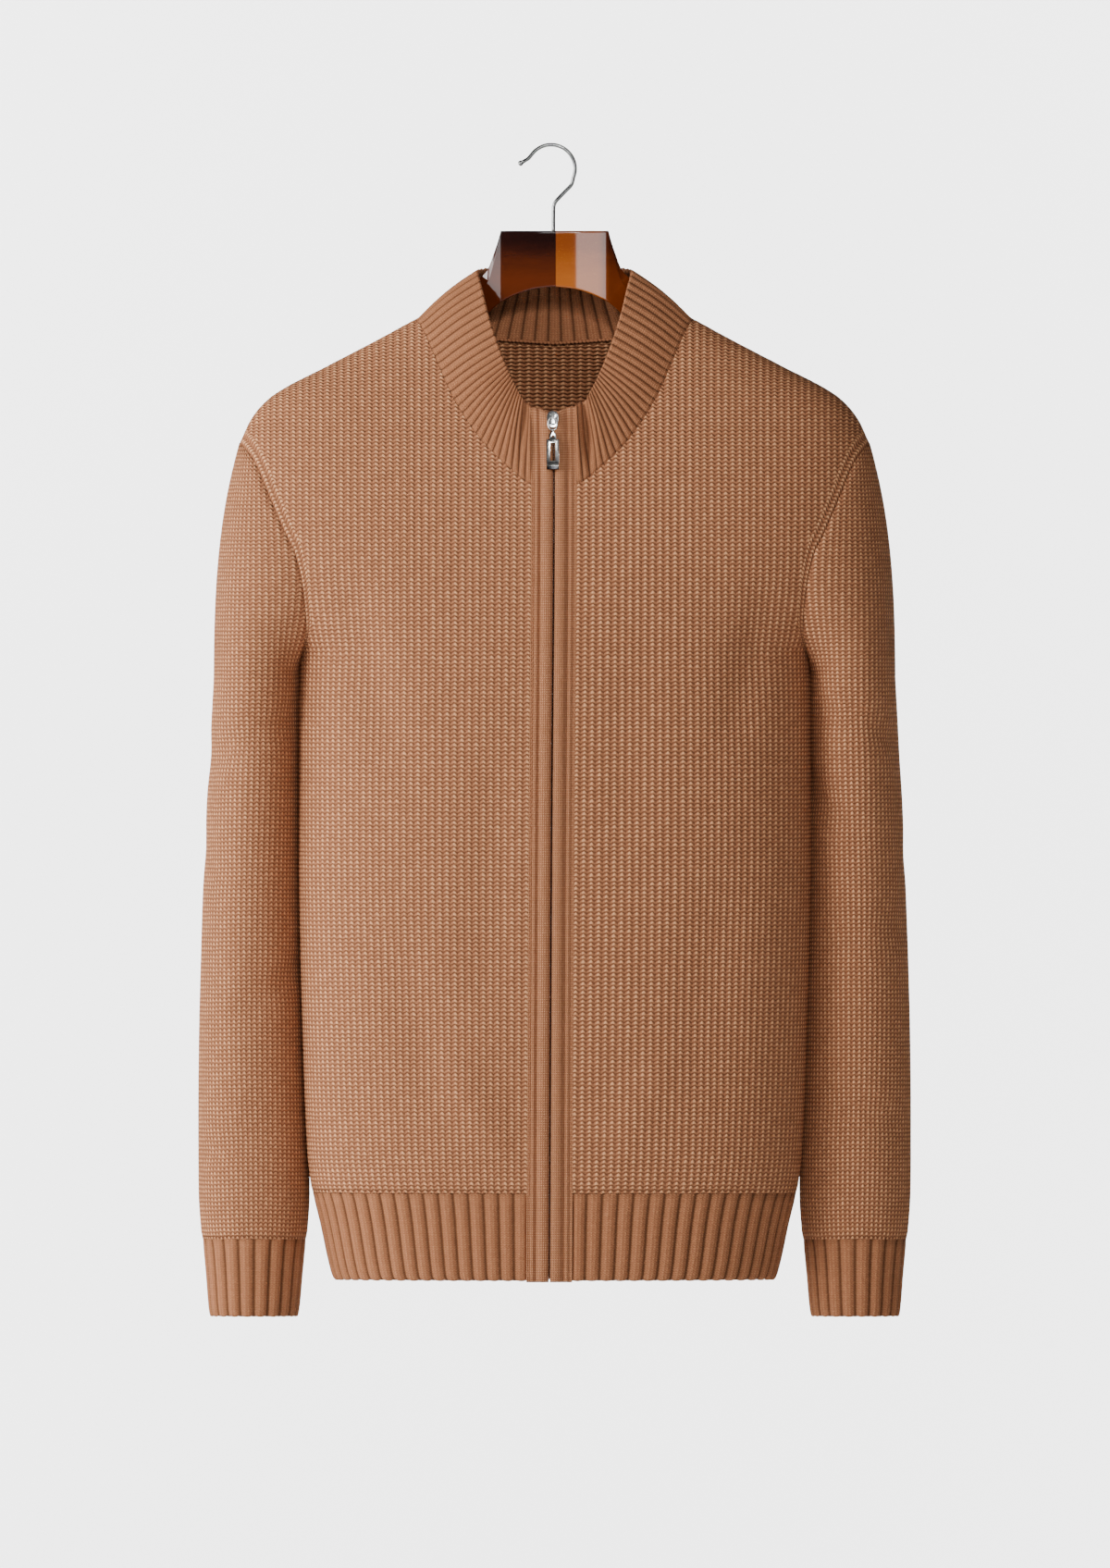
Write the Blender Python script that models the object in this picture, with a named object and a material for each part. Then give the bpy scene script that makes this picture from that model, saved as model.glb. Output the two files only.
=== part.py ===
"""Wool zip cardigan with a stand collar, hollow, hanging on a wooden hanger with a steel hook.

The origin is the inside of the hook's bend, where a rail carries it. X runs towards the wearer's left,
-Y is the front and Z is up. A height is given as a drop below the origin. All lengths are in metres.
"""

from collections import namedtuple
from math import cos, pi, radians, sin

import bmesh
import bpy
import numpy as np
from mathutils import Matrix, Vector

# Cloth walls and the seams between the pieces
BODY_WALL = 0.0024
BAND_WALL = 0.0020
COLLAR_WALL = 0.0022
HALF_SEAM = 0.00015
INNER_EASE = 0.0008

# Heights of the body, as drops below the hook
ARMPIT = 0.362
HEM_TOP = 0.748
HEM_END = 0.811
PLACKET_TOP = 0.1885
SHOULDER_TIP = 0.212

# The high point of the shoulder, where the collar seam crosses the ridge
NECK_X = 0.0995
NECK_DROP = 0.1235
NECK_FRONT = 0.2416

# How finely the panels are divided
LOWER_ROWS = 6
UPPER_ROWS = 11
NECK_COLUMNS = 6
FAN_COLUMNS = 7
SLEEVE_HEAD_ROWS = 5
CURVE_STEPS = 16
SECTION_STEPS = 240

# Ribs of the collar, hem and cuffs. Each rib has three points across: the groove and both edges of its crest
COLLAR_RIBS_FRONT = 19
COLLAR_RIBS_BACK = 12
HEM_RIBS = 18
CUFF_RIBS = 20
RIB_HEIGHT = 0.0011
CREST = (0.0, 0.28, 0.72)
POINTS_A_RIB = len(CREST)

Level = namedtuple("Level", "drop half_width front back power")
# Horizontal sections of the body: half width, how far its front and back stand out, and how square they are
TORSO = (
    Level(0.1235, 0.0995, 0.0220, 0.0300, 2.2),
    Level(0.1373, 0.1250, 0.0300, 0.0380, 2.2),
    Level(0.1571, 0.1630, 0.0390, 0.0490, 2.2),
    Level(0.1769, 0.2000, 0.0490, 0.0580, 2.2),
    Level(0.1868, 0.2110, 0.0535, 0.0625, 2.2),
    Level(0.1967, 0.2180, 0.0580, 0.0660, 2.2),
    Level(0.2120, 0.2250, 0.0650, 0.0700, 2.3),
    Level(0.2400, 0.2290, 0.0745, 0.0760, 2.4),
    Level(0.2700, 0.2280, 0.0810, 0.0800, 2.5),
    Level(0.3000, 0.2200, 0.0860, 0.0830, 2.5),
    Level(0.3300, 0.2020, 0.0890, 0.0850, 2.5),
    Level(0.3500, 0.1890, 0.0900, 0.0860, 2.5),
    Level(0.3620, 0.1820, 0.0905, 0.0860, 2.5),
    Level(0.4000, 0.1820, 0.0910, 0.0860, 2.5),
    Level(0.5000, 0.1820, 0.0900, 0.0845, 2.5),
    Level(0.6500, 0.1785, 0.0865, 0.0810, 2.5),
    Level(0.7200, 0.1755, 0.0850, 0.0790, 2.5),
    Level(0.7480, 0.1730, 0.0835, 0.0775, 2.5),
)
HEM = (
    Level(0.7480, 0.1730, 0.0835, 0.0775, 2.5),
    Level(0.7680, 0.1680, 0.0810, 0.0758, 2.5),
    Level(0.8000, 0.1610, 0.0785, 0.0735, 2.5),
    Level(0.8080, 0.1585, 0.0775, 0.0725, 2.5),
    Level(0.8110, 0.1560, 0.0760, 0.0710, 2.5),
)
# How much of the rib each row of the hem band has
HEM_RIB_ROWS = (0.6, 1.0, 1.0, 1.0, 0.5)

Edge = namedtuple("Edge", "drop x")
# Where the armhole seam runs over the body, from the shoulder tip to the armpit
ARMHOLE = (
    Edge(0.2120, 0.2250),
    Edge(0.2240, 0.2155),
    Edge(0.2560, 0.2016),
    Edge(0.2760, 0.1930),
    Edge(0.2930, 0.1850),
    Edge(0.3200, 0.1795),
    Edge(0.3450, 0.1775),
    Edge(0.3560, 0.1790),
    Edge(0.3620, 0.1820),
)
# The middle of the zip, which drifts a little to one side as it comes down
ZIP_LINE = (Edge(0.1870, -0.0015), Edge(0.2400, -0.0004), Edge(0.5000, -0.0022), Edge(0.8110, -0.0038))

Neck = namedtuple("Neck", "x drop")
NECK_FRONT_LINE = (
    Neck(0.0000, 0.2445),
    Neck(0.0162, 0.2416),
    Neck(0.0327, 0.2297),
    Neck(0.0525, 0.2099),
    Neck(0.0723, 0.1802),
    Neck(0.0855, 0.1505),
    Neck(0.0954, 0.1287),
    Neck(0.0995, 0.1235),
)
NECK_BACK_LINE = (Neck(0.0, 0.1406), Neck(0.0500, 0.1370), Neck(0.0820, 0.1290), Neck(0.0995, 0.1235))

Rim = namedtuple("Rim", "x y drop")
# The collar's upper edge, from the zip to its highest point at the side, and on to the middle of the back
RIM_FRONT = (
    Rim(0.0165, -0.0620, 0.1862),
    Rim(0.0215, -0.0612, 0.1810),
    Rim(0.0261, -0.0580, 0.1736),
    Rim(0.0393, -0.0460, 0.1439),
    Rim(0.0479, -0.0320, 0.1175),
    Rim(0.0518, -0.0190, 0.1010),
    Rim(0.0551, -0.0030, 0.0882),
)
RIM_BACK = (Rim(0.0500, 0.0160, 0.0860), Rim(0.0300, 0.0290, 0.0845))
RIM_MIDDLE = Rim(0.0, 0.0330, 0.0840)
# The collar's rows as shares of its height, with how much of the rib each has. It bellies out in the middle
COLLAR_ROWS = (0.0, 0.22, 0.50, 0.78, 0.95, 1.0)
COLLAR_RIB_ROWS = (0.5, 1.0, 1.0, 1.0, 1.0, 0.6)
COLLAR_BELLY = 0.0022
RIM_ROUNDING = 0.0009

Fold = namedtuple("Fold", "side distance width depth height")
# The collar's soft creases beside the zip: distance from its front edge, and the height share where deepest
COLLAR_FOLDS = (Fold(1, 0.0150, 0.0042, 0.0036, 0.45), Fold(-1, 0.0105, 0.0040, 0.0026, 0.85))
FOLD_REACH = 0.4

SleeveLevel = namedtuple("SleeveLevel", "drop inner outer half_depth back power")
# Level sections of the hanging sleeve: its inner and outer side, half its depth, and how far back it hangs
SLEEVE = (
    SleeveLevel(0.3800, 0.1845, 0.2434, 0.0640, 0.012, 2.3),
    SleeveLevel(0.4240, 0.1828, 0.2459, 0.0620, 0.019, 2.2),
    SleeveLevel(0.4770, 0.1818, 0.2489, 0.0585, 0.022, 2.1),
    SleeveLevel(0.5300, 0.1815, 0.2512, 0.0550, 0.023, 2.1),
    SleeveLevel(0.5828, 0.1805, 0.2528, 0.0515, 0.023, 2.1),
    SleeveLevel(0.6356, 0.1795, 0.2541, 0.0480, 0.022, 2.1),
    SleeveLevel(0.6900, 0.1780, 0.2546, 0.0445, 0.021, 2.1),
    SleeveLevel(0.7200, 0.1770, 0.2546, 0.0430, 0.020, 2.1),
    SleeveLevel(0.7480, 0.1755, 0.2543, 0.0415, 0.019, 2.1),
    SleeveLevel(0.7810, 0.1775, 0.2520, 0.0395, 0.018, 2.1),
)
CUFF = (
    SleeveLevel(0.7810, 0.1775, 0.2520, 0.0395, 0.018, 2.1),
    SleeveLevel(0.8060, 0.1799, 0.2497, 0.0357, 0.017, 2.1),
    SleeveLevel(0.8330, 0.1825, 0.2474, 0.0325, 0.016, 2.1),
    SleeveLevel(0.8370, 0.1837, 0.2462, 0.0313, 0.016, 2.1),
)
CUFF_RIB_ROWS = (0.6, 1.0, 1.0, 0.5)
# Which way the sleeve's head leaves the armhole at the armpit, the front and the shoulder tip
HEAD_START = (Rim(0.95, 0.0, 0.30), Rim(0.60, -0.10, 0.80), Rim(0.27, 0.0, 0.96))

Profile = namedtuple("Profile", "across out")
# The placket's section: across from the middle of the zip, and out from the face of the cloth
PLACKET = (
    Profile(0.0007, -0.0018),
    Profile(0.0007, 0.0010),
    Profile(0.0022, 0.0023),
    Profile(0.0052, 0.0026),
    Profile(0.0082, 0.0019),
    Profile(0.0098, 0.0002),
    Profile(0.0122, 0.0007),
    Profile(0.0140, 0.0000),
    Profile(0.0162, 0.0002),
    Profile(0.0162, -0.0018),
)
PLACKET_REACH = 0.0165
# How many rows the placket has on the collar, the body and the hem band
PLACKET_ROWS = (3, 11, 3)
TAPE = (
    Profile(0.0011, -0.0029),
    Profile(0.0011, -0.0021),
    Profile(0.0125, -0.0021),
    Profile(0.0125, -0.0029),
)
TAPE_TOP = 0.1900
TAPE_END = 0.8095

# Zip slider, link and pull. The distances out are from the face of the cloth
SLIDER_TOP = 0.1903
SLIDER_END = 0.2025
SLIDER_WIDTH = 0.0092
SLIDER_FACE = (0.0030, 0.0044)
SLIDER_BACK = (-0.0044, -0.0032)
SLIDER_POST = 0.0007
PLATE_CORNERS = 20
PLATE_TAPER = 0.1
POST_SHARE = 0.55
BACK_SHARE = 0.8
# How far one part of the metal is sunk into the next, and how far its faces lie inside the next one's
SINK = 0.0005
STEP_IN = 0.0002
CROWN_WIDTH = 0.0028
CROWN_FEET = (0.1915, 0.1934, 0.1986, 0.2005)
CROWN_OUT = 0.0080
CROWN_THICK = 0.0012
SLIDER_TILT = -13.0
LINK_TOP = 0.1952
LINK_END = 0.2048
LINK_HALF_WIDTH = 0.0034
LINK_OUT = 0.0057
LINK_WIRE = 0.00045
LINK_STEPS = 16
ROUND_WIRE_SIDES = 8
EYE_RADIUS = 0.0013
EYE_WIRE = 0.0004
EYE_STEPS = 12
TONGUE = (0.0052, 0.2058, 0.2120)
TONGUE_THICK = 0.0010
TONGUE_NECK = 0.36
TONGUE_SLOPE = 0.0022
PULL_WIDTH = 0.0088
PULL_TOP = 0.2118
PULL_END = 0.2337
PULL_THICK = 0.0020
PULL_SLOT = (0.0036, 0.2142, 0.2275)
BLOCK_TOP = 0.2284
BLOCK_THICK = 0.0026

# Hanger
WIRE = 0.0014
HOOK_CENTRE = (-0.0025, -0.0159)
HOOK_RADIUS = 0.0172
HOOK_ARC = (136.0, -22.0)
HOOK_STEPS = 18
HOOK_TAIL = (Neck(0.0124, 0.0266), Neck(0.0079, 0.0318), Neck(0.0036, 0.0362), Neck(0.0003, 0.0402))
HOOK_STEM = (Neck(-0.0007, 0.0440), Neck(-0.0008, 0.0500), Neck(-0.0008, 0.0604))
HOOK_LIP = (Neck(-0.0218, 0.0105), Neck(-0.0187, 0.0086))
BALL = Neck(-0.0242, 0.0119)
BALL_RADIUS = 0.0020
# The joint of the hanger's halves lies a little off the middle
HANGER_JOINT = 0.0009

Station = namedtuple("Station", "x top bottom crown half_depth shoulder")
# The wood's sections: top and bottom, half depth at the top and below, and how far down the depth is reached
HANGER = (
    Station(0.0000, 0.0607, 0.1000, 0.0080, 0.0090, 0.0010),
    Station(0.0200, 0.0607, 0.1029, 0.0080, 0.0090, 0.0010),
    Station(0.0385, 0.0607, 0.1113, 0.0080, 0.0090, 0.0010),
    Station(0.0416, 0.0680, 0.1136, 0.0052, 0.0092, 0.0350),
    Station(0.0455, 0.0779, 0.1168, 0.0046, 0.0095, 0.0300),
    Station(0.0500, 0.0870, 0.1210, 0.0042, 0.0098, 0.0240),
    Station(0.0564, 0.0968, 0.1265, 0.0042, 0.0103, 0.0200),
    Station(0.0680, 0.1085, 0.1350, 0.0046, 0.0112, 0.0160),
    Station(0.0820, 0.1190, 0.1450, 0.0036, 0.0122, 0.0140),
    Station(0.0995, 0.1288, 0.1560, 0.0034, 0.0130, 0.0140),
    Station(0.1250, 0.1421, 0.1700, 0.0034, 0.0145, 0.0140),
    Station(0.1630, 0.1618, 0.1885, 0.0034, 0.0168, 0.0140),
    Station(0.1900, 0.1762, 0.2015, 0.0034, 0.0180, 0.0140),
    Station(0.2010, 0.1850, 0.2055, 0.0030, 0.0160, 0.0120),
    Station(0.2065, 0.1925, 0.2035, 0.0024, 0.0100, 0.0070),
)
HANGER_CHAMFER = 0.0014

CAMEL = (0.49, 0.24, 0.125)
RUST_TAPE = (0.20, 0.10, 0.055)
CHROME = (0.72, 0.72, 0.73)
DARK_CHROME = (0.06, 0.06, 0.065)
VARNISHED_WOOD = (0.16, 0.045, 0.014)


def clear_scene():
    for old in list(bpy.data.objects):
        bpy.data.objects.remove(old, do_unlink=True)


def material(name, colour, roughness, metallic=0.0):
    made = bpy.data.materials.new(name)
    made.use_nodes = True
    principled = made.node_tree.nodes["Principled BSDF"]
    principled.inputs["Base Color"].default_value = (*colour, 1.0)
    principled.inputs["Roughness"].default_value = roughness
    principled.inputs["Metallic"].default_value = metallic
    return made


def smooth(at, knots, values):
    """A monotone cubic through the table's points, so it never swings past them."""
    knots = np.asarray(knots, float)
    values = np.asarray(values, float)
    step = np.diff(knots)
    slope = np.diff(values) / step
    product = slope[:-1] * slope[1:]
    total = slope[:-1] + slope[1:]
    level = product <= 0
    tangent = np.empty_like(values)
    tangent[0] = slope[0]
    tangent[-1] = slope[-1]
    tangent[1:-1] = np.where(level, 0.0, 2 * product / np.where(level, 1.0, total))
    at = np.clip(at, knots[0], knots[-1])
    cell = np.clip(np.searchsorted(knots, at, side="right") - 1, 0, len(step) - 1)
    t = (at - knots[cell]) / step[cell]
    start = values[cell] * (1 + 2 * t) + tangent[cell] * step[cell] * t
    end = values[cell + 1] * (3 - 2 * t) - tangent[cell + 1] * step[cell] * (1 - t)
    return start * (1 - t) ** 2 + end * t**2


def column(rows, name):
    return [getattr(row, name) for row in rows]


def read(rows, at, name, by="drop"):
    return smooth(at, column(rows, by), column(rows, name))


def body_y(rows, x, drop, face):
    """How far the body's outer face lies from the middle plane. face is -1 in front and 1 at the back."""
    power = read(rows, drop, "power")
    depth = read(rows, drop, "front" if face < 0 else "back")
    share = np.clip(np.abs(x) / read(rows, drop, "half_width"), 0.0, 1.0)
    return face * depth * (1 - share**power) ** (1 / power)


def points_at(x, y, drop):
    return np.stack(np.broadcast_arrays(x, y, -np.asarray(drop)), axis=-1).astype(float)


def unit(vectors):
    return vectors / np.maximum(np.linalg.norm(vectors, axis=-1, keepdims=True), 1e-9)


def resample(points, shares):
    """The points at these shares of a polyline's length."""
    lengths = np.linalg.norm(np.diff(points, axis=0), axis=1)
    travelled = np.concatenate([[0.0], np.cumsum(lengths)])
    at = np.asarray(shares) * travelled[-1]
    return np.stack([np.interp(at, travelled, points[:, axis]) for axis in range(3)], axis=1)


def rib_shares(ribs, closing_point=True):
    """Shares of a run of ribs, three to a rib, with the last groove if the run ends there."""
    shares = [(rib + part) / ribs for rib in range(ribs) for part in CREST]
    return np.array(shares + [1.0] * closing_point)


def outward(grid, centre_x, loop):
    """Unit normals of a grid of points, away from the upright line through centre_x."""
    if loop:
        across = np.roll(grid, -1, axis=1) - np.roll(grid, 1, axis=1)
    else:
        across = np.gradient(grid, axis=1)
    normals = unit(np.cross(across, np.gradient(grid, axis=0)))
    away = grid - np.array([centre_x, 0.0, 0.0])
    away[..., 2] = 0.0
    return normals * np.sign((normals * away).sum())


def eased(grid, distance, loop):
    """The grid with its border drawn in by a distance, which leaves the gap of a seam."""
    moved = grid.copy()
    moved[0] += distance * unit(grid[1] - grid[0])
    moved[-1] += distance * unit(grid[-2] - grid[-1])
    if not loop:
        moved[:, 0] += distance * unit(grid[:, 1] - grid[:, 0])
        moved[:, -1] += distance * unit(grid[:, -2] - grid[:, -1])
    return moved


def add_object(name, mesh_source, look, smooth_angle=35.0):
    bmesh.ops.recalc_face_normals(mesh_source, faces=mesh_source.faces)
    mesh = bpy.data.meshes.new(name)
    mesh_source.to_mesh(mesh)
    mesh_source.free()
    mesh.materials.append(look)
    mesh.shade_smooth()
    mesh.set_sharp_from_angle(angle=radians(smooth_angle))
    made = bpy.data.objects.new(name, mesh)
    bpy.context.scene.collection.objects.link(made)
    return made


def wall(name, outer, inner, look, loop=False):
    """A closed wall between two grids. The outer one may have several columns for each one of the inner."""
    shape = bmesh.new()
    outside = [[shape.verts.new(point) for point in row] for row in outer]
    inside = [[shape.verts.new(point) for point in row] for row in inner]
    if loop:
        outside = [[*row, row[0]] for row in outside]
        inside = [[*row, row[0]] for row in inside]
    for skin in (outside, inside):
        for low, high in zip(skin, skin[1:]):
            for at in range(len(low) - 1):
                shape.faces.new((low[at], low[at + 1], high[at + 1], high[at]))
    ratio = (len(outside[0]) - 1) // (len(inside[0]) - 1)
    for row in (0, -1):
        for at in range(len(inside[0]) - 1):
            edge = outside[row][at * ratio : (at + 1) * ratio + 1]
            shape.faces.new((*edge, inside[row][at + 1], inside[row][at]))
    if not loop:
        for end in (0, -1):
            for at in range(len(outside) - 1):
                rim = (outside[at][end], outside[at + 1][end], inside[at + 1][end], inside[at][end])
                shape.faces.new(rim)
    return add_object(name, shape, look)


def plain_wall(name, grid, look, centre_x, loop=False):
    normals = outward(grid, centre_x, loop)
    inner = eased(grid - BODY_WALL * normals, HALF_SEAM + INNER_EASE, loop)
    return wall(name, eased(grid, HALF_SEAM, loop), inner, look, loop)


def ribbed_wall(name, grid, look, centre_x, thickness, row_heights, loop=False):
    """A wall with a groove at every third column. row_heights says how much of the rib each row has."""
    normals = outward(grid, centre_x, loop)
    grooves = (np.arange(grid.shape[1]) % POINTS_A_RIB == 0)[None, :, None]
    depth = RIB_HEIGHT * np.array(row_heights)[:, None, None]
    outer = eased(grid - normals * np.where(grooves, depth, 0.0), HALF_SEAM, loop)
    plain = (grid - (RIB_HEIGHT + thickness) * normals)[:, ::POINTS_A_RIB]
    return wall(name, outer, eased(plain, HALF_SEAM + INNER_EASE, loop), look, loop)


def zip_x(drop):
    return read(ZIP_LINE, drop, "x")


def shoulder_drop(x):
    """The drop of the shoulder's ridge, the other way round in the table of body widths."""
    ridge = [level for level in TORSO if level.drop <= SHOULDER_TIP]
    return smooth(x, column(ridge, "half_width"), column(ridge, "drop"))


def half_panel(face, side, inner_edge):
    """Half of a front or back, rows from the hem up and columns from inner_edge(drop) out to the side.

    Columns up to the neck run straight up to the neckline. The rest fan out to the shoulder and armhole.
    """
    neck = np.sin(np.arange(NECK_COLUMNS + 1) / NECK_COLUMNS * pi / 2)
    fan = 1 - (1 - np.arange(1, FAN_COLUMNS + 1) / FAN_COLUMNS) ** 2
    chest = read(TORSO, ARMPIT, "half_width")
    rows = []
    for drop in np.linspace(HEM_TOP, ARMPIT, LOWER_ROWS + 1)[:-1]:
        scale = read(TORSO, drop, "half_width") / chest
        start = inner_edge(drop)
        to_neck = start + (side * NECK_X * scale - start) * neck
        to_side = side * scale * (NECK_X + fan * (chest - NECK_X))
        x = np.concatenate([to_neck, to_side])
        rows.append(points_at(x, body_y(TORSO, x, drop, face), drop))
    neckline = NECK_FRONT_LINE if face < 0 else NECK_BACK_LINE
    start = inner_edge(NECK_FRONT)
    neck_top = start + (side * NECK_X - start) * neck
    neck_top_drop = read(neckline, np.abs(neck_top), "drop", by="x")
    ridge_x = NECK_X + fan * (read(ARMHOLE, SHOULDER_TIP, "x") - NECK_X)
    ridge_lift = shoulder_drop(ridge_x) - (NECK_DROP + fan * (SHOULDER_TIP - NECK_DROP))
    for v in np.linspace(0.0, 1.0, UPPER_ROWS + 1):
        rise = sin(v * pi / 2)
        neck_drop = ARMPIT - (ARMPIT - neck_top_drop) * rise
        start = inner_edge(np.maximum(neck_drop, NECK_FRONT))
        neck_x = start + (side * NECK_X - start) * neck
        edge_drop = (ARMPIT + SHOULDER_TIP) / 2 + (ARMPIT - SHOULDER_TIP) / 2 * cos(v * pi)
        edge_x = read(ARMHOLE, edge_drop, "x")
        fan_drop = (1 - fan) * neck_drop[-1] + fan * edge_drop + v**2 * ridge_lift
        fan_x = side * (NECK_X + fan * (edge_x - NECK_X))
        x = np.concatenate([neck_x, fan_x])
        drop = np.concatenate([neck_drop, fan_drop])
        y = body_y(TORSO, x, drop, face)
        if v == 1.0:
            y[NECK_COLUMNS:] = 0.0
        rows.append(points_at(x, y, drop))
    return np.array(rows)


def panels():
    """The grids of the two fronts, by side, and of the back."""
    fronts = {}
    for side in (1, -1):
        fronts[side] = half_panel(-1, side, lambda drop, side=side: zip_x(drop) + side * PLACKET_REACH)
    right_back = half_panel(1, 1, lambda drop: 0.0 * drop)
    left_back = half_panel(1, -1, lambda drop: 0.0 * drop)
    back = np.concatenate([left_back[:, :0:-1], right_back], axis=1)
    return fronts, back


def armhole_loop(front, back, side):
    """The armhole's points: from the armpit up the front to the shoulder tip, and down the back."""
    up = front[LOWER_ROWS:, -1]
    down = back[LOWER_ROWS:, -1 if side > 0 else 0][::-1]
    return np.concatenate([up, down[1:-1]])


def sleeve_ring(level_rows, drop, side, angles):
    inner = read(level_rows, drop, "inner")
    outer = read(level_rows, drop, "outer")
    power = 2 / read(level_rows, drop, "power")
    turn_x = np.sign(np.cos(angles)) * np.abs(np.cos(angles)) ** power
    turn_y = np.sign(np.sin(angles)) * np.abs(np.sin(angles)) ** power
    x = (inner + outer) / 2 - (outer - inner) / 2 * turn_x
    y = read(level_rows, drop, "back") - read(level_rows, drop, "half_depth") * turn_y
    return points_at(side * x, y, drop)


def sleeve_grid(armhole, side):
    """Rings from the armhole down: a curved head, then level rings to the cuff."""
    angles = np.arange(len(armhole)) / len(armhole) * 2 * pi
    first = sleeve_ring(SLEEVE, SLEEVE[0].drop, side, angles)
    around = np.minimum(angles, 2 * pi - angles) / pi
    start = [np.interp(around, (0.0, 0.5, 1.0), column(HEAD_START, name)) for name in Rim._fields]
    start = np.stack(start, axis=1)
    start *= np.stack([np.full(len(angles), side), np.sign(np.sin(angles)), -np.ones(len(angles))], axis=1)
    reach = np.linalg.norm(first - armhole, axis=1, keepdims=True)
    start = unit(start) * reach
    end = np.array([0.0, 0.0, -1.0]) * reach
    rings = []
    for t in np.arange(SLEEVE_HEAD_ROWS) / SLEEVE_HEAD_ROWS:
        blend = armhole * (1 + 2 * t) * (1 - t) ** 2 + first * (3 - 2 * t) * t**2
        rings.append(blend + start * t * (1 - t) ** 2 - end * (1 - t) * t**2)
    rings += [sleeve_ring(SLEEVE, level.drop, side, angles) for level in SLEEVE]
    return np.array(rings)


def cuff_grid(side):
    shares = rib_shares(CUFF_RIBS, closing_point=False)
    angles = np.linspace(0.0, 2 * pi, SECTION_STEPS)
    return np.array([resample(sleeve_ring(CUFF, level.drop, side, angles), shares) for level in CUFF])


def hem_run(face, side, drop, from_x):
    """Half of a level section of the hem, from near the middle out to the side seam."""
    half_width = read(HEM, drop, "half_width")
    angles = np.linspace(0.0, pi / 2, SECTION_STEPS)
    x = from_x + (side * half_width - from_x) * np.sin(angles)
    return points_at(x, body_y(HEM, x, drop, face), drop)


def hem_grid(face, side):
    """A front half of the hem band, or the whole back of it when side is 0."""
    rows = []
    for level in HEM:
        if side:
            run = hem_run(face, side, level.drop, zip_x(level.drop) + side * PLACKET_REACH)
            rows.append(resample(run, rib_shares(HEM_RIBS)))
        else:
            half = hem_run(face, 1, level.drop, 0.0)
            run = np.concatenate([half[:0:-1] * (-1, 1, 1), half])
            rows.append(resample(run, rib_shares(2 * HEM_RIBS + 2)))
    return np.array(rows)


def smooth_path(rows):
    """A dense smooth line through a table of points, with CURVE_STEPS steps between its rows."""
    knots = np.array([(row.x, row.y, -row.drop) for row in rows])
    chords = np.concatenate([[0.0], np.cumsum(np.linalg.norm(np.diff(knots, axis=0), axis=1))])
    at = np.interp(np.arange((len(rows) - 1) * CURVE_STEPS + 1) / CURVE_STEPS, np.arange(len(rows)), chords)
    return np.stack([smooth(at, chords, knots[:, axis]) for axis in range(3)], axis=1)


def mirrored(rows):
    return [row._replace(x=-row.x) for row in rows]


def collar_grid(fronts, back):
    """Rows from the neck seam up to the rim, columns from the right front edge round the back to the left."""
    right = [*RIM_FRONT, *RIM_BACK]
    shifted = zip_x(PLACKET_TOP)
    rim_rows = [*right, RIM_MIDDLE, *mirrored(right[::-1])]
    rim_rows[0] = rim_rows[0]._replace(x=shifted + PLACKET_REACH)
    rim_rows[-1] = rim_rows[-1]._replace(x=shifted - PLACKET_REACH)
    rim = smooth_path(rim_rows)
    middle = len(back[-1]) // 2
    side_top = (len(RIM_FRONT) - 1) * CURVE_STEPS
    half = len(right) * CURVE_STEPS
    neck = NECK_COLUMNS
    runs = (
        (fronts[1][-1, : neck + 1], rim[: side_top + 1], COLLAR_RIBS_FRONT),
        (back[-1, middle : middle + neck + 1][::-1], rim[side_top : half + 1], COLLAR_RIBS_BACK),
        (back[-1, middle - neck : middle + 1][::-1], rim[half : 2 * half - side_top + 1], COLLAR_RIBS_BACK),
        (fronts[-1][-1, : neck + 1][::-1], rim[2 * half - side_top :], COLLAR_RIBS_FRONT),
    )
    seam_parts = []
    rim_parts = []
    for at, (seam_run, rim_run, ribs) in enumerate(runs):
        shares = rib_shares(ribs, closing_point=at == len(runs) - 1)
        seam_parts.append(resample(seam_run, shares))
        rim_parts.append(resample(rim_run, shares))
    seam = np.concatenate(seam_parts)
    top = np.concatenate(rim_parts)
    flat = np.array([seam + (top - seam) * share for share in COLLAR_ROWS])
    out = outward(flat, 0.0, loop=False)
    heights = np.array(COLLAR_ROWS)[:, None, None]
    bulge = COLLAR_BELLY * np.sin(heights * pi) * out
    return flat + bulge - collar_folds(seam, heights) * out


def collar_folds(seam, heights):
    """Soft troughs that run up the collar beside the zip."""
    along = np.concatenate([[0.0], np.cumsum(np.linalg.norm(np.diff(seam, axis=0), axis=1))])
    depth = np.zeros((len(heights), len(seam), 1))
    for fold in COLLAR_FOLDS:
        distance = along if fold.side > 0 else along[-1] - along
        across = np.exp(-(((distance - fold.distance) / fold.width) ** 2))
        depth += fold.depth * across[None, :, None] * np.exp(-(((heights - fold.height) / FOLD_REACH) ** 2))
    return depth


def collar(fronts, back, look):
    grid = collar_grid(fronts, back)
    normals = outward(grid, 0.0, loop=False)
    grid[-1] -= RIM_ROUNDING * normals[-1]
    return ribbed_wall("collar", grid, look, 0.0, COLLAR_WALL, COLLAR_RIB_ROWS)


def front_face(drop):
    """How far the front's face lies out along the zip: body, hem band, or the collar's front edge."""
    drop = np.asarray(drop, float)
    rim = RIM_FRONT[0]
    neck_y = -read(TORSO, NECK_FRONT, "front")
    up = (NECK_FRONT - drop) / (NECK_FRONT - rim.drop)
    on_collar = neck_y + (rim.y - neck_y) * up
    on_hem = -read(HEM, np.minimum(drop, HEM[-2].drop), "front")
    on_body = np.where(drop > HEM_TOP, on_hem, -read(TORSO, drop, "front"))
    return np.where(drop < NECK_FRONT, on_collar, on_body)


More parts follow.
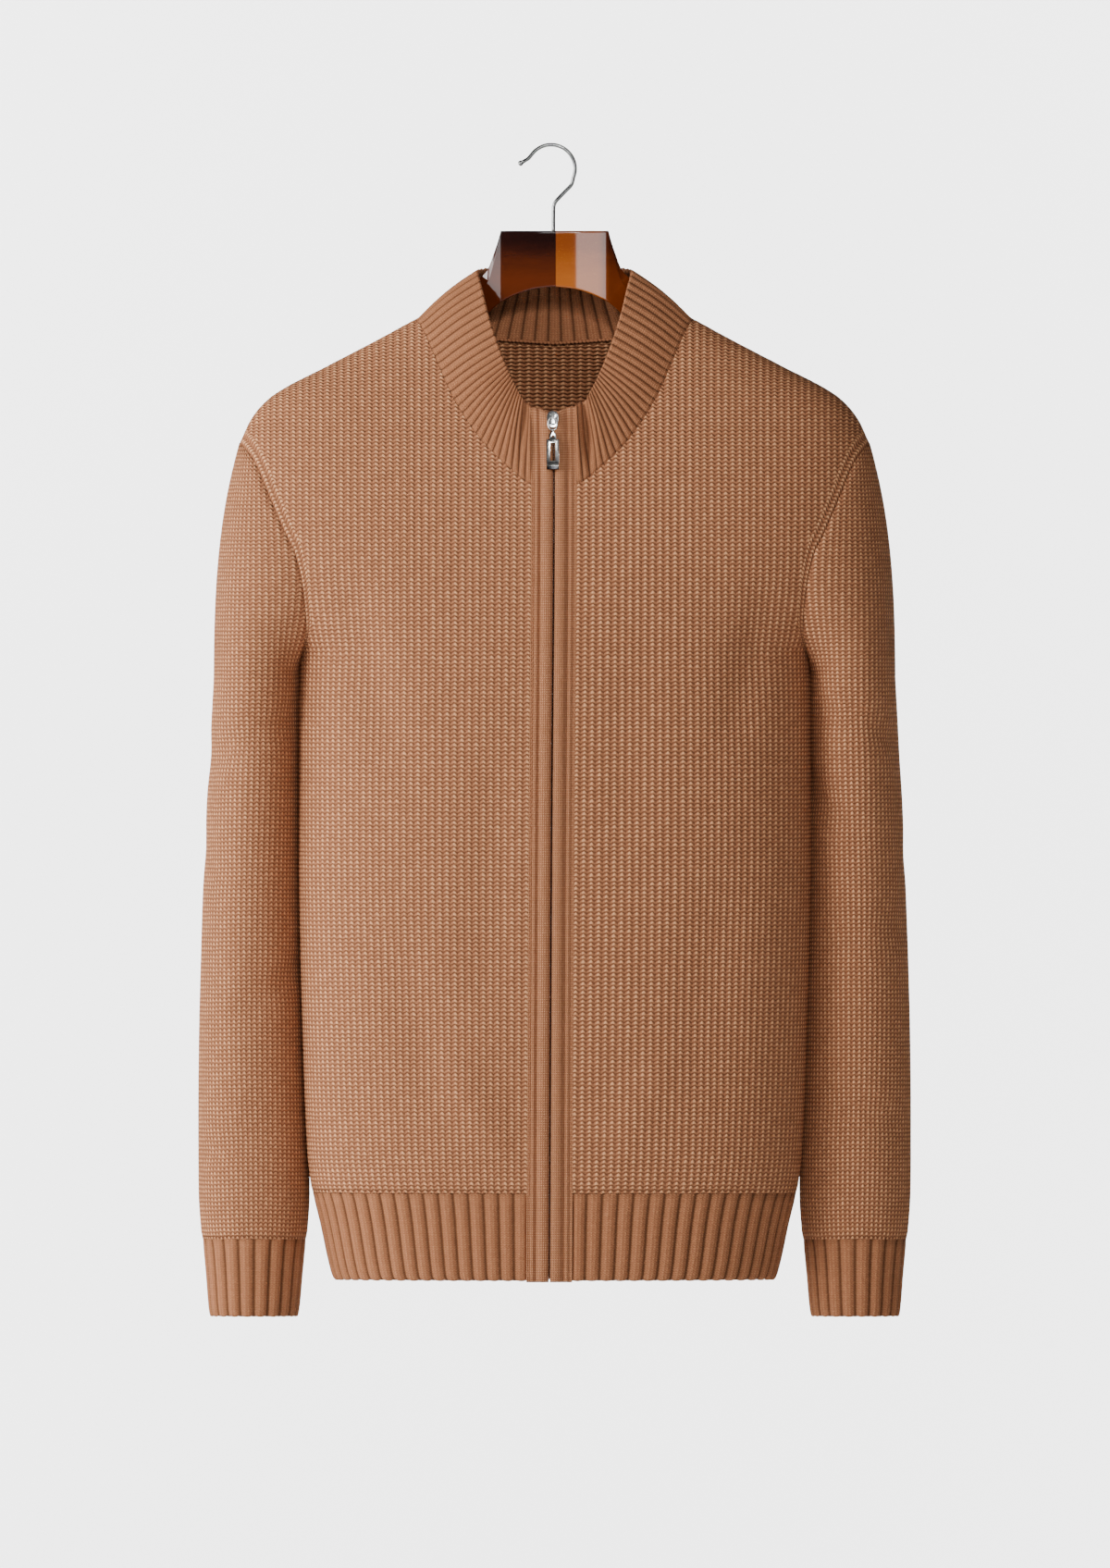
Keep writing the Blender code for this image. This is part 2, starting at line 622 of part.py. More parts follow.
def strip(name, profile, side, top, end, look):
    """A strip that follows the zip, with one section of this profile on each row."""
    shape = bmesh.new()
    loops = []
    stretches = zip((PLACKET_TOP, NECK_FRONT, HEM_TOP), (NECK_FRONT, HEM_TOP, HEM_END), PLACKET_ROWS)
    drops = np.concatenate([np.linspace(*stretch, endpoint=False) for stretch in stretches] + [[HEM_END]])
    for drop in np.clip(drops, top, end):
        face = float(front_face(drop))
        middle = float(zip_x(drop))
        loops.append([shape.verts.new((middle + side * p.across, face - p.out, -drop)) for p in profile])
    for low, high in zip(loops, loops[1:]):
        for at in range(len(profile)):
            after = (at + 1) % len(profile)
            shape.faces.new((low[at], low[after], high[after], high[at]))
    shape.faces.new(loops[0])
    shape.faces.new(loops[-1])
    return add_object(name, shape, look)


def block(size, centre):
    """A box as a bmesh, by its size and centre."""
    shape = bmesh.new()
    bmesh.ops.create_cube(shape, size=1.0)
    bmesh.ops.scale(shape, vec=size, verts=shape.verts)
    bmesh.ops.translate(shape, vec=centre, verts=shape.verts)
    return shape


def ring(radius_across, radius_up, wire, steps, centre, upright):
    """A ring of round wire. It lies parallel to the cloth, or edge on when upright."""
    shape = bmesh.new()
    loops = []
    for step in range(steps):
        turn = 2 * pi * step / steps
        loop = []
        for corner in range(ROUND_WIRE_SIDES):
            angle = 2 * pi * corner / ROUND_WIRE_SIDES
            far = 1 + wire * cos(angle) / radius_across
            high = 1 + wire * cos(angle) / radius_up
            across = radius_across * far * cos(turn)
            up = radius_up * high * sin(turn)
            side = wire * sin(angle)
            point = (side, across, up) if upright else (across, side, up)
            loop.append(shape.verts.new([a + b for a, b in zip(centre, point)]))
        loops.append(loop)
    for at in range(steps):
        low, high = loops[at], loops[(at + 1) % steps]
        for corner in range(ROUND_WIRE_SIDES):
            after = (corner + 1) % ROUND_WIRE_SIDES
            shape.faces.new((low[corner], low[after], high[after], high[corner]))
    return shape


def outline_plate(outline, thickness, centre_y):
    """A flat plate parallel to the cloth, from its outline as (x, z) corners."""
    shape = bmesh.new()
    front = [shape.verts.new((x, centre_y - thickness / 2, z)) for x, z in outline]
    back = [shape.verts.new((x, centre_y + thickness / 2, z)) for x, z in outline]
    shape.faces.new(front)
    shape.faces.new(back)
    for at in range(len(outline)):
        after = (at + 1) % len(outline)
        shape.faces.new((front[at], front[after], back[after], back[at]))
    return shape


def joined(name, shapes, look, cut=()):
    """One solid from overlapping shapes, less the cutters."""
    made = tilted(add_object(name, shapes[0], look))
    for operation, others in (("UNION", shapes[1:]), ("DIFFERENCE", cut)):
        for at, other in enumerate(others):
            helper = tilted(add_object(f"{name}_{operation.lower()}_{at}", other, look))
            helper.hide_render = True
            helper.display_type = "WIRE"
            modifier = made.modifiers.new(helper.name, "BOOLEAN")
            modifier.operation = operation
            modifier.solver = "EXACT"
            modifier.object = helper
    return made


def tilted(made):
    """Leans a metal piece of the zip with the cloth behind it, about the middle of the slider."""
    middle_drop = (SLIDER_TOP + SLIDER_END) / 2
    pivot = Vector((0.0, float(front_face(middle_drop)), -middle_drop))
    lean = Matrix.Rotation(radians(SLIDER_TILT), 4, "X")
    made.matrix_world = Matrix.Translation(pivot) @ lean @ Matrix.Translation(-pivot)
    return made


def slider(look):
    """The slider: a rounded face plate, a crown for the link, a post through the slit and a back plate."""
    middle = float(zip_x(LINK_TOP))
    face = float(front_face((SLIDER_TOP + SLIDER_END) / 2))
    height = SLIDER_END - SLIDER_TOP
    level = -(SLIDER_TOP + SLIDER_END) / 2
    plate = []
    for corner in range(PLATE_CORNERS):
        turn = 2 * pi * corner / PLATE_CORNERS
        taper = 1 - PLATE_TAPER * (1 - sin(turn))
        plate.append((middle + SLIDER_WIDTH / 2 * cos(turn) * taper, level + height / 2 * sin(turn)))
    face_mid = face - sum(SLIDER_FACE) / 2
    shapes = [outline_plate(plate, SLIDER_FACE[1] - SLIDER_FACE[0], face_mid)]
    post_depth = SLIDER_FACE[1] - SLIDER_BACK[0] - 2 * STEP_IN
    post_mid = face - (SLIDER_FACE[1] + SLIDER_BACK[0]) / 2
    shapes.append(block((SLIDER_POST, post_depth, height * POST_SHARE), (middle, post_mid, level)))
    back_size = (SLIDER_WIDTH * BACK_SHARE, SLIDER_BACK[1] - SLIDER_BACK[0], height * BACK_SHARE)
    shapes.append(block(back_size, (middle, face - sum(SLIDER_BACK) / 2, level)))
    foot_top, hole_top, hole_end, foot_end = CROWN_FEET
    root = SLIDER_FACE[1] - SINK
    tip = CROWN_OUT - STEP_IN
    for top, end in ((foot_top, hole_top), (hole_end, foot_end)):
        size = (CROWN_WIDTH, tip - root, end - top)
        shapes.append(block(size, (middle, face - (tip + root) / 2, -(top + end) / 2)))
    bar = (CROWN_WIDTH - STEP_IN, CROWN_THICK, foot_end - foot_top - 2 * STEP_IN)
    shapes.append(block(bar, (middle, face - CROWN_OUT + CROWN_THICK / 2, -(foot_top + foot_end) / 2)))
    return joined("zip_slider", shapes, look)


def link(look):
    middle = float(zip_x(LINK_TOP))
    face = float(front_face((SLIDER_TOP + SLIDER_END) / 2))
    centre = (middle, face - LINK_OUT, -(LINK_TOP + LINK_END) / 2)
    shape = ring(LINK_HALF_WIDTH, (LINK_END - LINK_TOP) / 2, LINK_WIRE, LINK_STEPS, centre, upright=False)
    return tilted(add_object("zip_link", shape, look))


def pull(look):
    """The pull: a small eye round the link, a tongue, an open frame and a solid block at its foot."""
    middle = float(zip_x(LINK_TOP))
    face = float(front_face((SLIDER_TOP + SLIDER_END) / 2)) - LINK_OUT
    shapes = [ring(EYE_RADIUS, EYE_RADIUS, EYE_WIRE, EYE_STEPS, (middle, face, -LINK_END), upright=True)]
    width, top, end = TONGUE
    neck = width * TONGUE_NECK / 2
    tongue = [
        (middle - neck, -top),
        (middle + neck, -top),
        (middle + width / 2, -(top + TONGUE_SLOPE)),
        (middle + width / 2, -end),
        (middle - width / 2, -end),
        (middle - width / 2, -(top + TONGUE_SLOPE)),
    ]
    shapes.append(outline_plate(tongue, TONGUE_THICK, face))
    frame_end = BLOCK_TOP + SINK
    frame_middle = -(PULL_TOP + frame_end) / 2
    shapes.append(block((PULL_WIDTH, PULL_THICK, frame_end - PULL_TOP), (middle, face, frame_middle)))
    block_size = (PULL_WIDTH - 2 * STEP_IN, BLOCK_THICK, PULL_END - BLOCK_TOP)
    shapes.append(block(block_size, (middle, face, -(BLOCK_TOP + PULL_END) / 2)))
    slot_width, slot_top, slot_end = PULL_SLOT
    slot_middle = -(slot_top + slot_end) / 2
    slot = block((slot_width, 4 * PULL_THICK, slot_end - slot_top), (middle, face, slot_middle))
    return joined("zip_pull", shapes, look, cut=(slot,))


def hanger_half(side, look):
    """Half of the wood, as a loft of eight-cornered sections from the joint to the tip."""
    shape = bmesh.new()
    loops = []
    for station in HANGER:
        corners = (
            (station.crown, station.top),
            (station.half_depth, station.top + station.shoulder),
            (station.half_depth, station.bottom - HANGER_CHAMFER),
            (station.half_depth - HANGER_CHAMFER, station.bottom),
        )
        both = [*((-y, z) for y, z in corners), *corners[::-1]]
        x = max(station.x, HALF_SEAM) * side + HANGER_JOINT * (station.x == 0)
        loops.append([shape.verts.new((x, y, -z)) for y, z in both])
    for low, high in zip(loops, loops[1:]):
        for at in range(len(low)):
            after = (at + 1) % len(low)
            shape.faces.new((low[at], low[after], high[after], high[at]))
    shape.faces.new(loops[0])
    shape.faces.new(loops[-1])
    return add_object("hanger_left" if side > 0 else "hanger_right", shape, look, smooth_angle=20.0)


def hook(look):
    """The steel hook: a round wire from the lip, over the bend and down to the wood."""
    start, end = HOOK_ARC
    turns = [radians(start + (end - start) * step / HOOK_STEPS) for step in range(HOOK_STEPS + 1)]
    centre_x, centre_z = HOOK_CENTRE
    bend = [(centre_x + HOOK_RADIUS * cos(turn), centre_z + HOOK_RADIUS * sin(turn)) for turn in turns]
    path = [(p.x, -p.drop) for p in HOOK_LIP] + bend + [(p.x, -p.drop) for p in (*HOOK_TAIL, *HOOK_STEM)]
    curve = bpy.data.curves.new("hook_wire", "CURVE")
    curve.dimensions = "3D"
    curve.bevel_depth = WIRE
    curve.bevel_resolution = 2
    curve.use_fill_caps = True
    spline = curve.splines.new("POLY")
    spline.points.add(len(path) - 1)
    for point, (x, z) in zip(spline.points, path):
        point.co = (x, 0.0, z, 1.0)
    spline.use_smooth = True
    curve.materials.append(look)
    made = bpy.data.objects.new("hook_wire", curve)
    bpy.context.scene.collection.objects.link(made)
    ball = bmesh.new()
    bmesh.ops.create_uvsphere(ball, u_segments=12, v_segments=8, radius=BALL_RADIUS)
    bmesh.ops.translate(ball, vec=(BALL.x, 0.0, -BALL.drop), verts=ball.verts)
    add_object("hook_tip", ball, look)


def build():
    clear_scene()
    knit = material("camel wool knit", CAMEL, 0.9)
    tape = material("zip tape", RUST_TAPE, 0.9)
    chrome = material("chrome", CHROME, 0.2, 1.0)
    dark_chrome = material("dark chrome", DARK_CHROME, 0.25, 1.0)
    wood = material("varnished wood", VARNISHED_WOOD, 0.25)

    fronts, back = panels()
    plain_wall("back", back, knit, 0.0)
    collar(fronts, back, knit)
    ribbed_wall("hem_back", hem_grid(1, 0), knit, 0.0, BAND_WALL, HEM_RIB_ROWS)
    for side, name in ((1, "left"), (-1, "right")):
        plain_wall(f"front_{name}", fronts[side], knit, 0.0)
        grid = sleeve_grid(armhole_loop(fronts[side], back, side), side)
        middle = side * (SLEEVE[0].inner + SLEEVE[0].outer) / 2
        plain_wall(f"sleeve_{name}", grid, knit, middle, loop=True)
        ribbed_wall(f"cuff_{name}", cuff_grid(side), knit, middle, BAND_WALL, CUFF_RIB_ROWS, loop=True)
        ribbed_wall(f"hem_front_{name}", hem_grid(-1, side), knit, 0.0, BAND_WALL, HEM_RIB_ROWS)
        strip(f"placket_{name}", PLACKET, side, PLACKET_TOP, HEM_END, knit)
        strip(f"zip_tape_{name}", TAPE, side, TAPE_TOP, TAPE_END, tape)
        hanger_half(side, wood)
    slider(chrome)
    link(chrome)
    pull(dark_chrome)
    hook(chrome)


build()
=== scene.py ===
# %% [markdown]
# # A ribbed zip cardigan on a wooden hanger
# The imported solids give the size and place of every piece. This file dresses them: each cloth piece becomes a
# thin knitted shell with real wales or ribs, and the zip, the hook and the wood get their finer shapes and finishes.
# We start by loading the frame, with each solid's place moved into its mesh.

# %% Load the frame
from collections import namedtuple
from math import cos, pi, radians, sin

import bmesh
import bpy
import numpy as np
from mathutils import Matrix, Vector


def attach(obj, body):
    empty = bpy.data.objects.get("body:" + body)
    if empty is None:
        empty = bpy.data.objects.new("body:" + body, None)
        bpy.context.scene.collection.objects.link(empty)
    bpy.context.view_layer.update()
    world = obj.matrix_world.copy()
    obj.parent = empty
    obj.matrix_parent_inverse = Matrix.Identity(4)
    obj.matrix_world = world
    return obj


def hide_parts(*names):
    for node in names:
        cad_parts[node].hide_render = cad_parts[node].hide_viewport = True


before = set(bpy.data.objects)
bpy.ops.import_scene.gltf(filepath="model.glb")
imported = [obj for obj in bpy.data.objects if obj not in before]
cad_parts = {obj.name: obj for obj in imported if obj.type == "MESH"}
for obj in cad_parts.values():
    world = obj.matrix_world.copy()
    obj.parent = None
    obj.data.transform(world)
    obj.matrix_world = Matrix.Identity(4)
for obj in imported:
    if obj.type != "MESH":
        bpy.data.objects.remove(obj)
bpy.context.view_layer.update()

# %% [markdown]
# ## Writing a material as sums
# A knitted surface is a pattern of waves, so its material is mostly arithmetic. Wiring Math nodes by hand is slow
# and hard to read. One small class wraps a socket, so that an ordinary Python sum adds the nodes it needs.

# %% A socket that can be used in sums
class Socket:
    """A shader socket. Each operator adds one Math node, and add() makes any other node."""

    def __init__(self, tree, socket=None):
        self.tree = tree
        self.socket = socket

    def add(self, kind, settings=None, inputs=None, output=0):
        made = self.tree.nodes.new(kind)
        for name, value in (settings or {}).items():
            setattr(made, name, value)
        for name, value in (inputs or {}).items():
            if isinstance(value, Socket):
                self.tree.links.new(value.socket, made.inputs[name])
            else:
                made.inputs[name].default_value = value
        return Socket(self.tree, made.outputs[output])

    def math(self, operation, *values):
        return self.add("ShaderNodeMath", {"operation": operation}, dict(enumerate(values)))

    def __add__(self, other):
        return self.math("ADD", self, other)

    def __sub__(self, other):
        return self.math("SUBTRACT", self, other)

    def __rsub__(self, other):
        return self.math("SUBTRACT", other, self)

    def __mul__(self, other):
        return self.math("MULTIPLY", self, other)

    def __pow__(self, other):
        return self.math("POWER", self, other)

    __radd__ = __add__
    __rmul__ = __mul__

    def fraction(self):
        return self.math("FRACT", self)

    def size(self):
        return self.math("ABSOLUTE", self)

    def axis(self, name):
        return self.add("ShaderNodeSeparateXYZ", None, {0: self}, name)

    def vector_math(self, operation, other):
        """A colour or vector times another, or scaled by a number."""
        second = "Scale" if operation == "SCALE" else 1
        return self.add("ShaderNodeVectorMath", {"operation": operation}, {0: self, second: other})

    def between(self, low, high):
        """0 below low, 1 above high and a smooth step between them."""
        limits = {"Value": self, "From Min": low, "From Max": high}
        return self.add("ShaderNodeMapRange", {"interpolation_type": "SMOOTHSTEP"}, limits)

    def mix(self, first, second):
        """A colour from first to second, with this socket as the factor."""
        return self.add("ShaderNodeMix", {"data_type": "RGBA"}, {0: self, 6: first, 7: second}, 2)

    def noise(self, vector, scale, detail=2.0, rough=0.5):
        inputs = {"Vector": vector, "Scale": scale, "Detail": detail, "Roughness": rough}
        return self.add("ShaderNodeTexNoise", None, inputs)

    def object_place(self):
        return self.add("ShaderNodeTexCoord", None, None, "Object")

# %% Materials and their finish
def new_material(name, **constants):
    """A material with a Principled shader, its constant sockets set, and a Socket to start sums from."""
    made = bpy.data.materials.new(name)
    made.use_nodes = True
    shader = made.node_tree.nodes["Principled BSDF"]
    for socket, value in constants.items():
        shader.inputs[socket.replace("_", " ").title().replace("Ior", "IOR")].default_value = value
    return made, shader, Socket(made.node_tree)


def finish(start, shader, colour, height=None, distance=0.001, roughness=None):
    """Links the varying colour, roughness and bump of a material."""
    start.tree.links.new(colour.socket, shader.inputs["Base Color"])
    if roughness:
        start.tree.links.new(roughness.socket, shader.inputs["Roughness"])
    if height:
        bump = start.add("ShaderNodeBump", None, {"Height": height, "Distance": distance})
        start.tree.links.new(bump.socket, shader.inputs["Normal"])

# %% [markdown]
# ## The body's knit
# The body and sleeves are a plump half-cardigan stitch: upright wales 5 mm apart, each a stack of small slanted
# loops with dark hollows between the wales. The wales are real geometry, made further down. The loops are too many
# for that, so the material draws them, with shade painted into the hollows and a highlight painted on each loop's
# tip. It reads the piece's own UV map, where one unit is one wale across and one course up, and so the loops follow
# the cloth wherever it bends. Each loop is a little peak: its phase falls off to both sides of the wale's middle.

# %% Wool colours and the loops of the body
# The wool's own colour, then a highlight painted on each loop's tip and shade painted into the hollows between loops.
CAMEL = (0.420, 0.171, 0.083, 1.0)
CAMEL_PAINTED_HIGHLIGHT = (0.870, 0.435, 0.215, 1.0)
CAMEL_PAINTED_SHADE = (0.125, 0.043, 0.019, 1.0)
WOOL = {"roughness": 0.90, "sheen_weight": 0.03, "sheen_roughness": 0.5, "specular_ior_level": 0.05}
WOOL_SHEEN = (0.95, 0.66, 0.48, 1.0)
# A loop's dome falls off to its sides and ends, its painted tip highlight to the ends and away from a slight lean.
SIDE_FALL, SIDE_ROUND, END_FALL = 0.50, 1.6, 1.05
HIGHLIGHT_FALL, HIGHLIGHT_LEAN = 1.3, 0.10
# How much domes and painted tip highlights differ from loop to loop, and how fine the wandering, fibres and clouds
# are.
UNEVEN_DOME, UNEVEN_HIGHLIGHT = 0.12, 0.35
WANDER_SCALE, FIBRE_SCALE, CLOUD_SCALE = 0.35, 1200.0, 55.0

# %% Draw the wool
def wool(name, slope, deep, mid, tip, distance, narrow=2.2, fuzz=0.30, loops_a_rib=0, groove_shade=0.0):
    """Knitted wool. Its loops slope this much to both sides of a wale. deep is shade painted into the hollows and tip
    a highlight painted on each loop's tip. Where wales form ribs, groove is shade painted into the grooves.

    narrow says how narrow the painted highlight on a loop is, and fuzz how strongly single fibres show.
    """
    made, shader, start = new_material(name, **WOOL)
    shader.inputs["Sheen Tint"].default_value = WOOL_SHEEN
    place = start.add("ShaderNodeUVMap", {"uv_map": "knit"})
    spot = start.object_place()
    u = place.axis("X")
    v = place.axis("Y")
    wander = start.noise(place, WANDER_SCALE, 2.0) - 0.5
    side = 2 * (u + 0.12 * wander).fraction() - 1
    phase = v + 0.5 * wander + 0.5 * slope * side.size()
    rise = 2 * phase.fraction() - 1
    cell = start.add("ShaderNodeCombineXYZ", None, {"X": u.math("FLOOR", u), "Y": phase.math("FLOOR", phase)})
    uneven = start.add("ShaderNodeTexWhiteNoise", {"noise_dimensions": "2D"}, {"Vector": cell})
    dome = 1 - SIDE_FALL * side.size() ** SIDE_ROUND - END_FALL * rise * rise + UNEVEN_DOME * (uneven - 0.5)
    lean = side + HIGHLIGHT_LEAN
    lit = 1 - narrow * lean * lean - HIGHLIGHT_FALL * rise * rise + UNEVEN_HIGHLIGHT * (uneven - 0.5)
    fine = start.noise(spot, FIBRE_SCALE, 2.0, 0.7)
    broad = start.noise(spot, CLOUD_SCALE, 2.0, 0.5)
    shade = 0.95 - fuzz / 2 + fuzz * fine + 0.10 * broad
    # In ribs, shade is painted into the grooves between them.
    if loops_a_rib:
        from_crest = (2 * (u * (1 / loops_a_rib)).fraction() - 1).size()
        shade = shade * (1 - groove_shade * from_crest.between(0.55, 0.98))
    # Shade is painted into the hollows between loops, and a highlight onto each loop's tip.
    low = dome.between(-0.75, 0.45).mix(deep, mid)
    high = (0.90 * lit.between(0.15, 1.0)).mix(low, tip)
    grey = start.add("ShaderNodeCombineXYZ", None, {"X": shade, "Y": shade, "Z": shade})
    colour = high.vector_math("MULTIPLY", grey)
    height = dome.between(-0.35, 1.1) + 0.15 * fine
    finish(start, shader, colour, height, distance)
    return made


BODY_KNIT = wool("camel half-cardigan knit", 0.95, CAMEL_PAINTED_SHADE, CAMEL, CAMEL_PAINTED_HIGHLIGHT, 0.0013, 3.2)
print("made", BODY_KNIT.name, "with", len(BODY_KNIT.node_tree.nodes), "nodes")

# %% [markdown]
# ## The rib's knit
# The collar, hem and cuffs are knitted tighter. Each broad rib carries four fine wales, so the same loops are used
# at a smaller scale. They are barely raised, have the felted look of washed wool, and sink into grooves between
# the ribs, which are darkened with painted shade.

# %% The loops of the ribs
# From shade painted in the hollows and grooves, through the rib's own colour, to a highlight painted on the loop
# tips.
RIB_PAINTED_SHADE = (0.245, 0.096, 0.043, 1.0)
RIB_MID = (0.365, 0.147, 0.070, 1.0)
RIB_PAINTED_HIGHLIGHT = (0.470, 0.208, 0.100, 1.0)
WALES_A_RIB = 4
RIB_KNIT = wool("camel rib knit", 1.1, RIB_PAINTED_SHADE, RIB_MID, RIB_PAINTED_HIGHLIGHT, 0.00028, 2.2, 0.90, WALES_A_RIB, 0.60)
# The rolled edge too has shade painted in its hollows and a highlight painted on its tips.
ROLL_PAINTED_SHADE = (0.200, 0.076, 0.034, 1.0)
ROLL_PAINTED_HIGHLIGHT = (0.640, 0.310, 0.160, 1.0)
ROLL_KNIT = wool("camel rolled edge knit", 1.0, ROLL_PAINTED_SHADE, CAMEL, ROLL_PAINTED_HIGHLIGHT, 0.0006, 2.2, 0.40)

# %% [markdown]
# ## Raising wales and ribs
# Wales and ribs repeat all over the cloth, so a Geometry Nodes tree raises them. Each shell carries two numbers on
# its points: which wale or rib it is in, counted across, and how much of the relief that place gets. The tree turns
# the first into a rounded profile that dips at every whole number, and moves the point along its normal.

# %% The tree that raises ribs
def tree_with(name, inputs):
    """A geometry tree with a mesh in, a mesh out and these named number inputs."""
    tree = bpy.data.node_groups.new(name, "GeometryNodeTree")
    tree.interface.new_socket("Mesh", in_out="INPUT", socket_type="NodeSocketGeometry")
    tree.interface.new_socket("Mesh", in_out="OUTPUT", socket_type="NodeSocketGeometry")
    for label, kind in inputs.items():
        tree.interface.new_socket(label, in_out="INPUT", socket_type=kind)
    entry = tree.nodes.new("NodeGroupInput")
    return tree, Socket(tree), {socket.name: Socket(tree, socket) for socket in entry.outputs if socket.name}


def close_tree(tree, start, mesh, look):
    """Ends a tree as the export needs it: real geometry with its material."""
    real = start.add("GeometryNodeRealizeInstances", None, {"Geometry": mesh})
    dressed = start.add("GeometryNodeSetMaterial", None, {"Geometry": real, "Material": look})
    tree.links.new(dressed.socket, tree.nodes.new("NodeGroupOutput").inputs[0])


RIB_INPUTS = {"Depth": "NodeSocketFloat", "Fullness": "NodeSocketFloat", "Look": "NodeSocketMaterial"}
ribs_tree, start, given = tree_with("raise wales or ribs", RIB_INPUTS)
count = start.add("GeometryNodeInputNamedAttribute", {"data_type": "FLOAT"}, {"Name": "rib"})
share = start.add("GeometryNodeInputNamedAttribute", {"data_type": "FLOAT"}, {"Name": "rise"})
from_crest = (2 * count.fraction() - 1).size()
lift = start.math("MULTIPLY", from_crest ** given["Fullness"], given["Depth"]) * share * -1
normal = start.add("GeometryNodeInputNormal")
offset = normal.vector_math("SCALE", lift)
moved = start.add("GeometryNodeSetPosition", None, {"Geometry": given["Mesh"], "Offset": offset})
close_tree(ribs_tree, start, moved, given["Look"])

# %% Objects and their plain meshes
def evaluated(made):
    """The object's mesh as its modifiers leave it."""
    depsgraph = bpy.context.evaluated_depsgraph_get()
    return bpy.data.meshes.new_from_object(made.evaluated_get(depsgraph), depsgraph=depsgraph)


def put(name, data):
    """A new object in the scene, at the origin."""
    made = bpy.data.objects.new(name, data)
    bpy.context.scene.collection.objects.link(made)
    return made


def repeat_on(name, mesh, tree, values):
    """A garment piece from a mesh and a tree with these inputs, kept as its plain mesh."""
    made = put(name, mesh)
    modifier = made.modifiers.new(tree.name, "NODES")
    modifier.node_group = tree
    for item in tree.interface.items_tree:
        if item.in_out == "INPUT" and item.name in values:
            modifier[item.identifier] = values[item.name]
    made.update_tag()
    mesh = evaluated(made)
    made.modifiers.remove(modifier)
    made.data = mesh
    mesh.name = name
    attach(made, "garment")
    print(name, "has", sum(len(p.vertices) - 2 for p in mesh.polygons), "triangles")
    return made

# %% [markdown]
# ## A shell of cloth
# Real cloth has two sides and a thickness. A grid of points gives the outer side, its normals give the inner one,
# and the borders are closed with the edge drawn in a little, so it looks rolled and not cut. The UV map is laid out
# in wales and courses: columns count the wales, and the way up each column is measured in courses.

# %% Build a shell from a grid
def unit(vectors):
    return vectors / np.maximum(np.linalg.norm(vectors, axis=-1, keepdims=True), 1e-9)


def outward(grid, centre_x, loop):
    """Unit normals of a grid of points, away from the upright line through centre_x."""
    if loop:
        across = np.roll(grid, -1, axis=1) - np.roll(grid, 1, axis=1)
    else:
        across = np.gradient(grid, axis=1)
    normals = unit(np.cross(across, np.gradient(grid, axis=0)))
    away = grid - np.array([centre_x, 0.0, 0.0])
    away[..., 2] = 0.0
    return normals * np.sign((normals * away).sum())


def mesh_of(name, shape, look=None, sharp=None):
    """The mesh of a bmesh, with its material, and smooth but for edges sharper than this angle."""
    bmesh.ops.recalc_face_normals(shape, faces=shape.faces)
    mesh = bpy.data.meshes.new(name)
    shape.to_mesh(mesh)
    shape.free()
    if look:
        mesh.materials.append(look)
    if sharp:
        mesh.shade_smooth()
        mesh.set_sharp_from_angle(angle=radians(sharp))
    return mesh

# %% Lengths over the cloth
def travelled(points):
    """How far along a line each of its points lies."""
    return np.concatenate([[0.0], np.cumsum(np.linalg.norm(np.diff(points, axis=0), axis=1))])


# depth is the relief's height, fullness makes its crests rounder, and course is the height of one row of loops
Knit = namedtuple("Knit", "look depth fullness wales_a_rib course")
BODY = Knit(BODY_KNIT, 0.0003, 1.8, 1, 0.0031)
RIB = Knit(RIB_KNIT, 0.0021, 2.2, WALES_A_RIB, 0.0017)
COLLAR_RIB = RIB._replace(depth=0.0016)
# On the inside the ribs lie half a rib further on, as the purl side of real ribbing does
INSIDE_SHIFT = 0.5
QUAD = ((0, 0), (0, 1), (1, 1), (1, 0))
SIDES = ((1, "left"), (-1, "right"))


def way_up(grid, course):
    """How many courses up each column every point of a grid lies."""
    steps = np.linalg.norm(np.diff(grid, axis=0), axis=2)
    return np.concatenate([np.zeros((1, grid.shape[1])), np.cumsum(steps, axis=0)]) / course

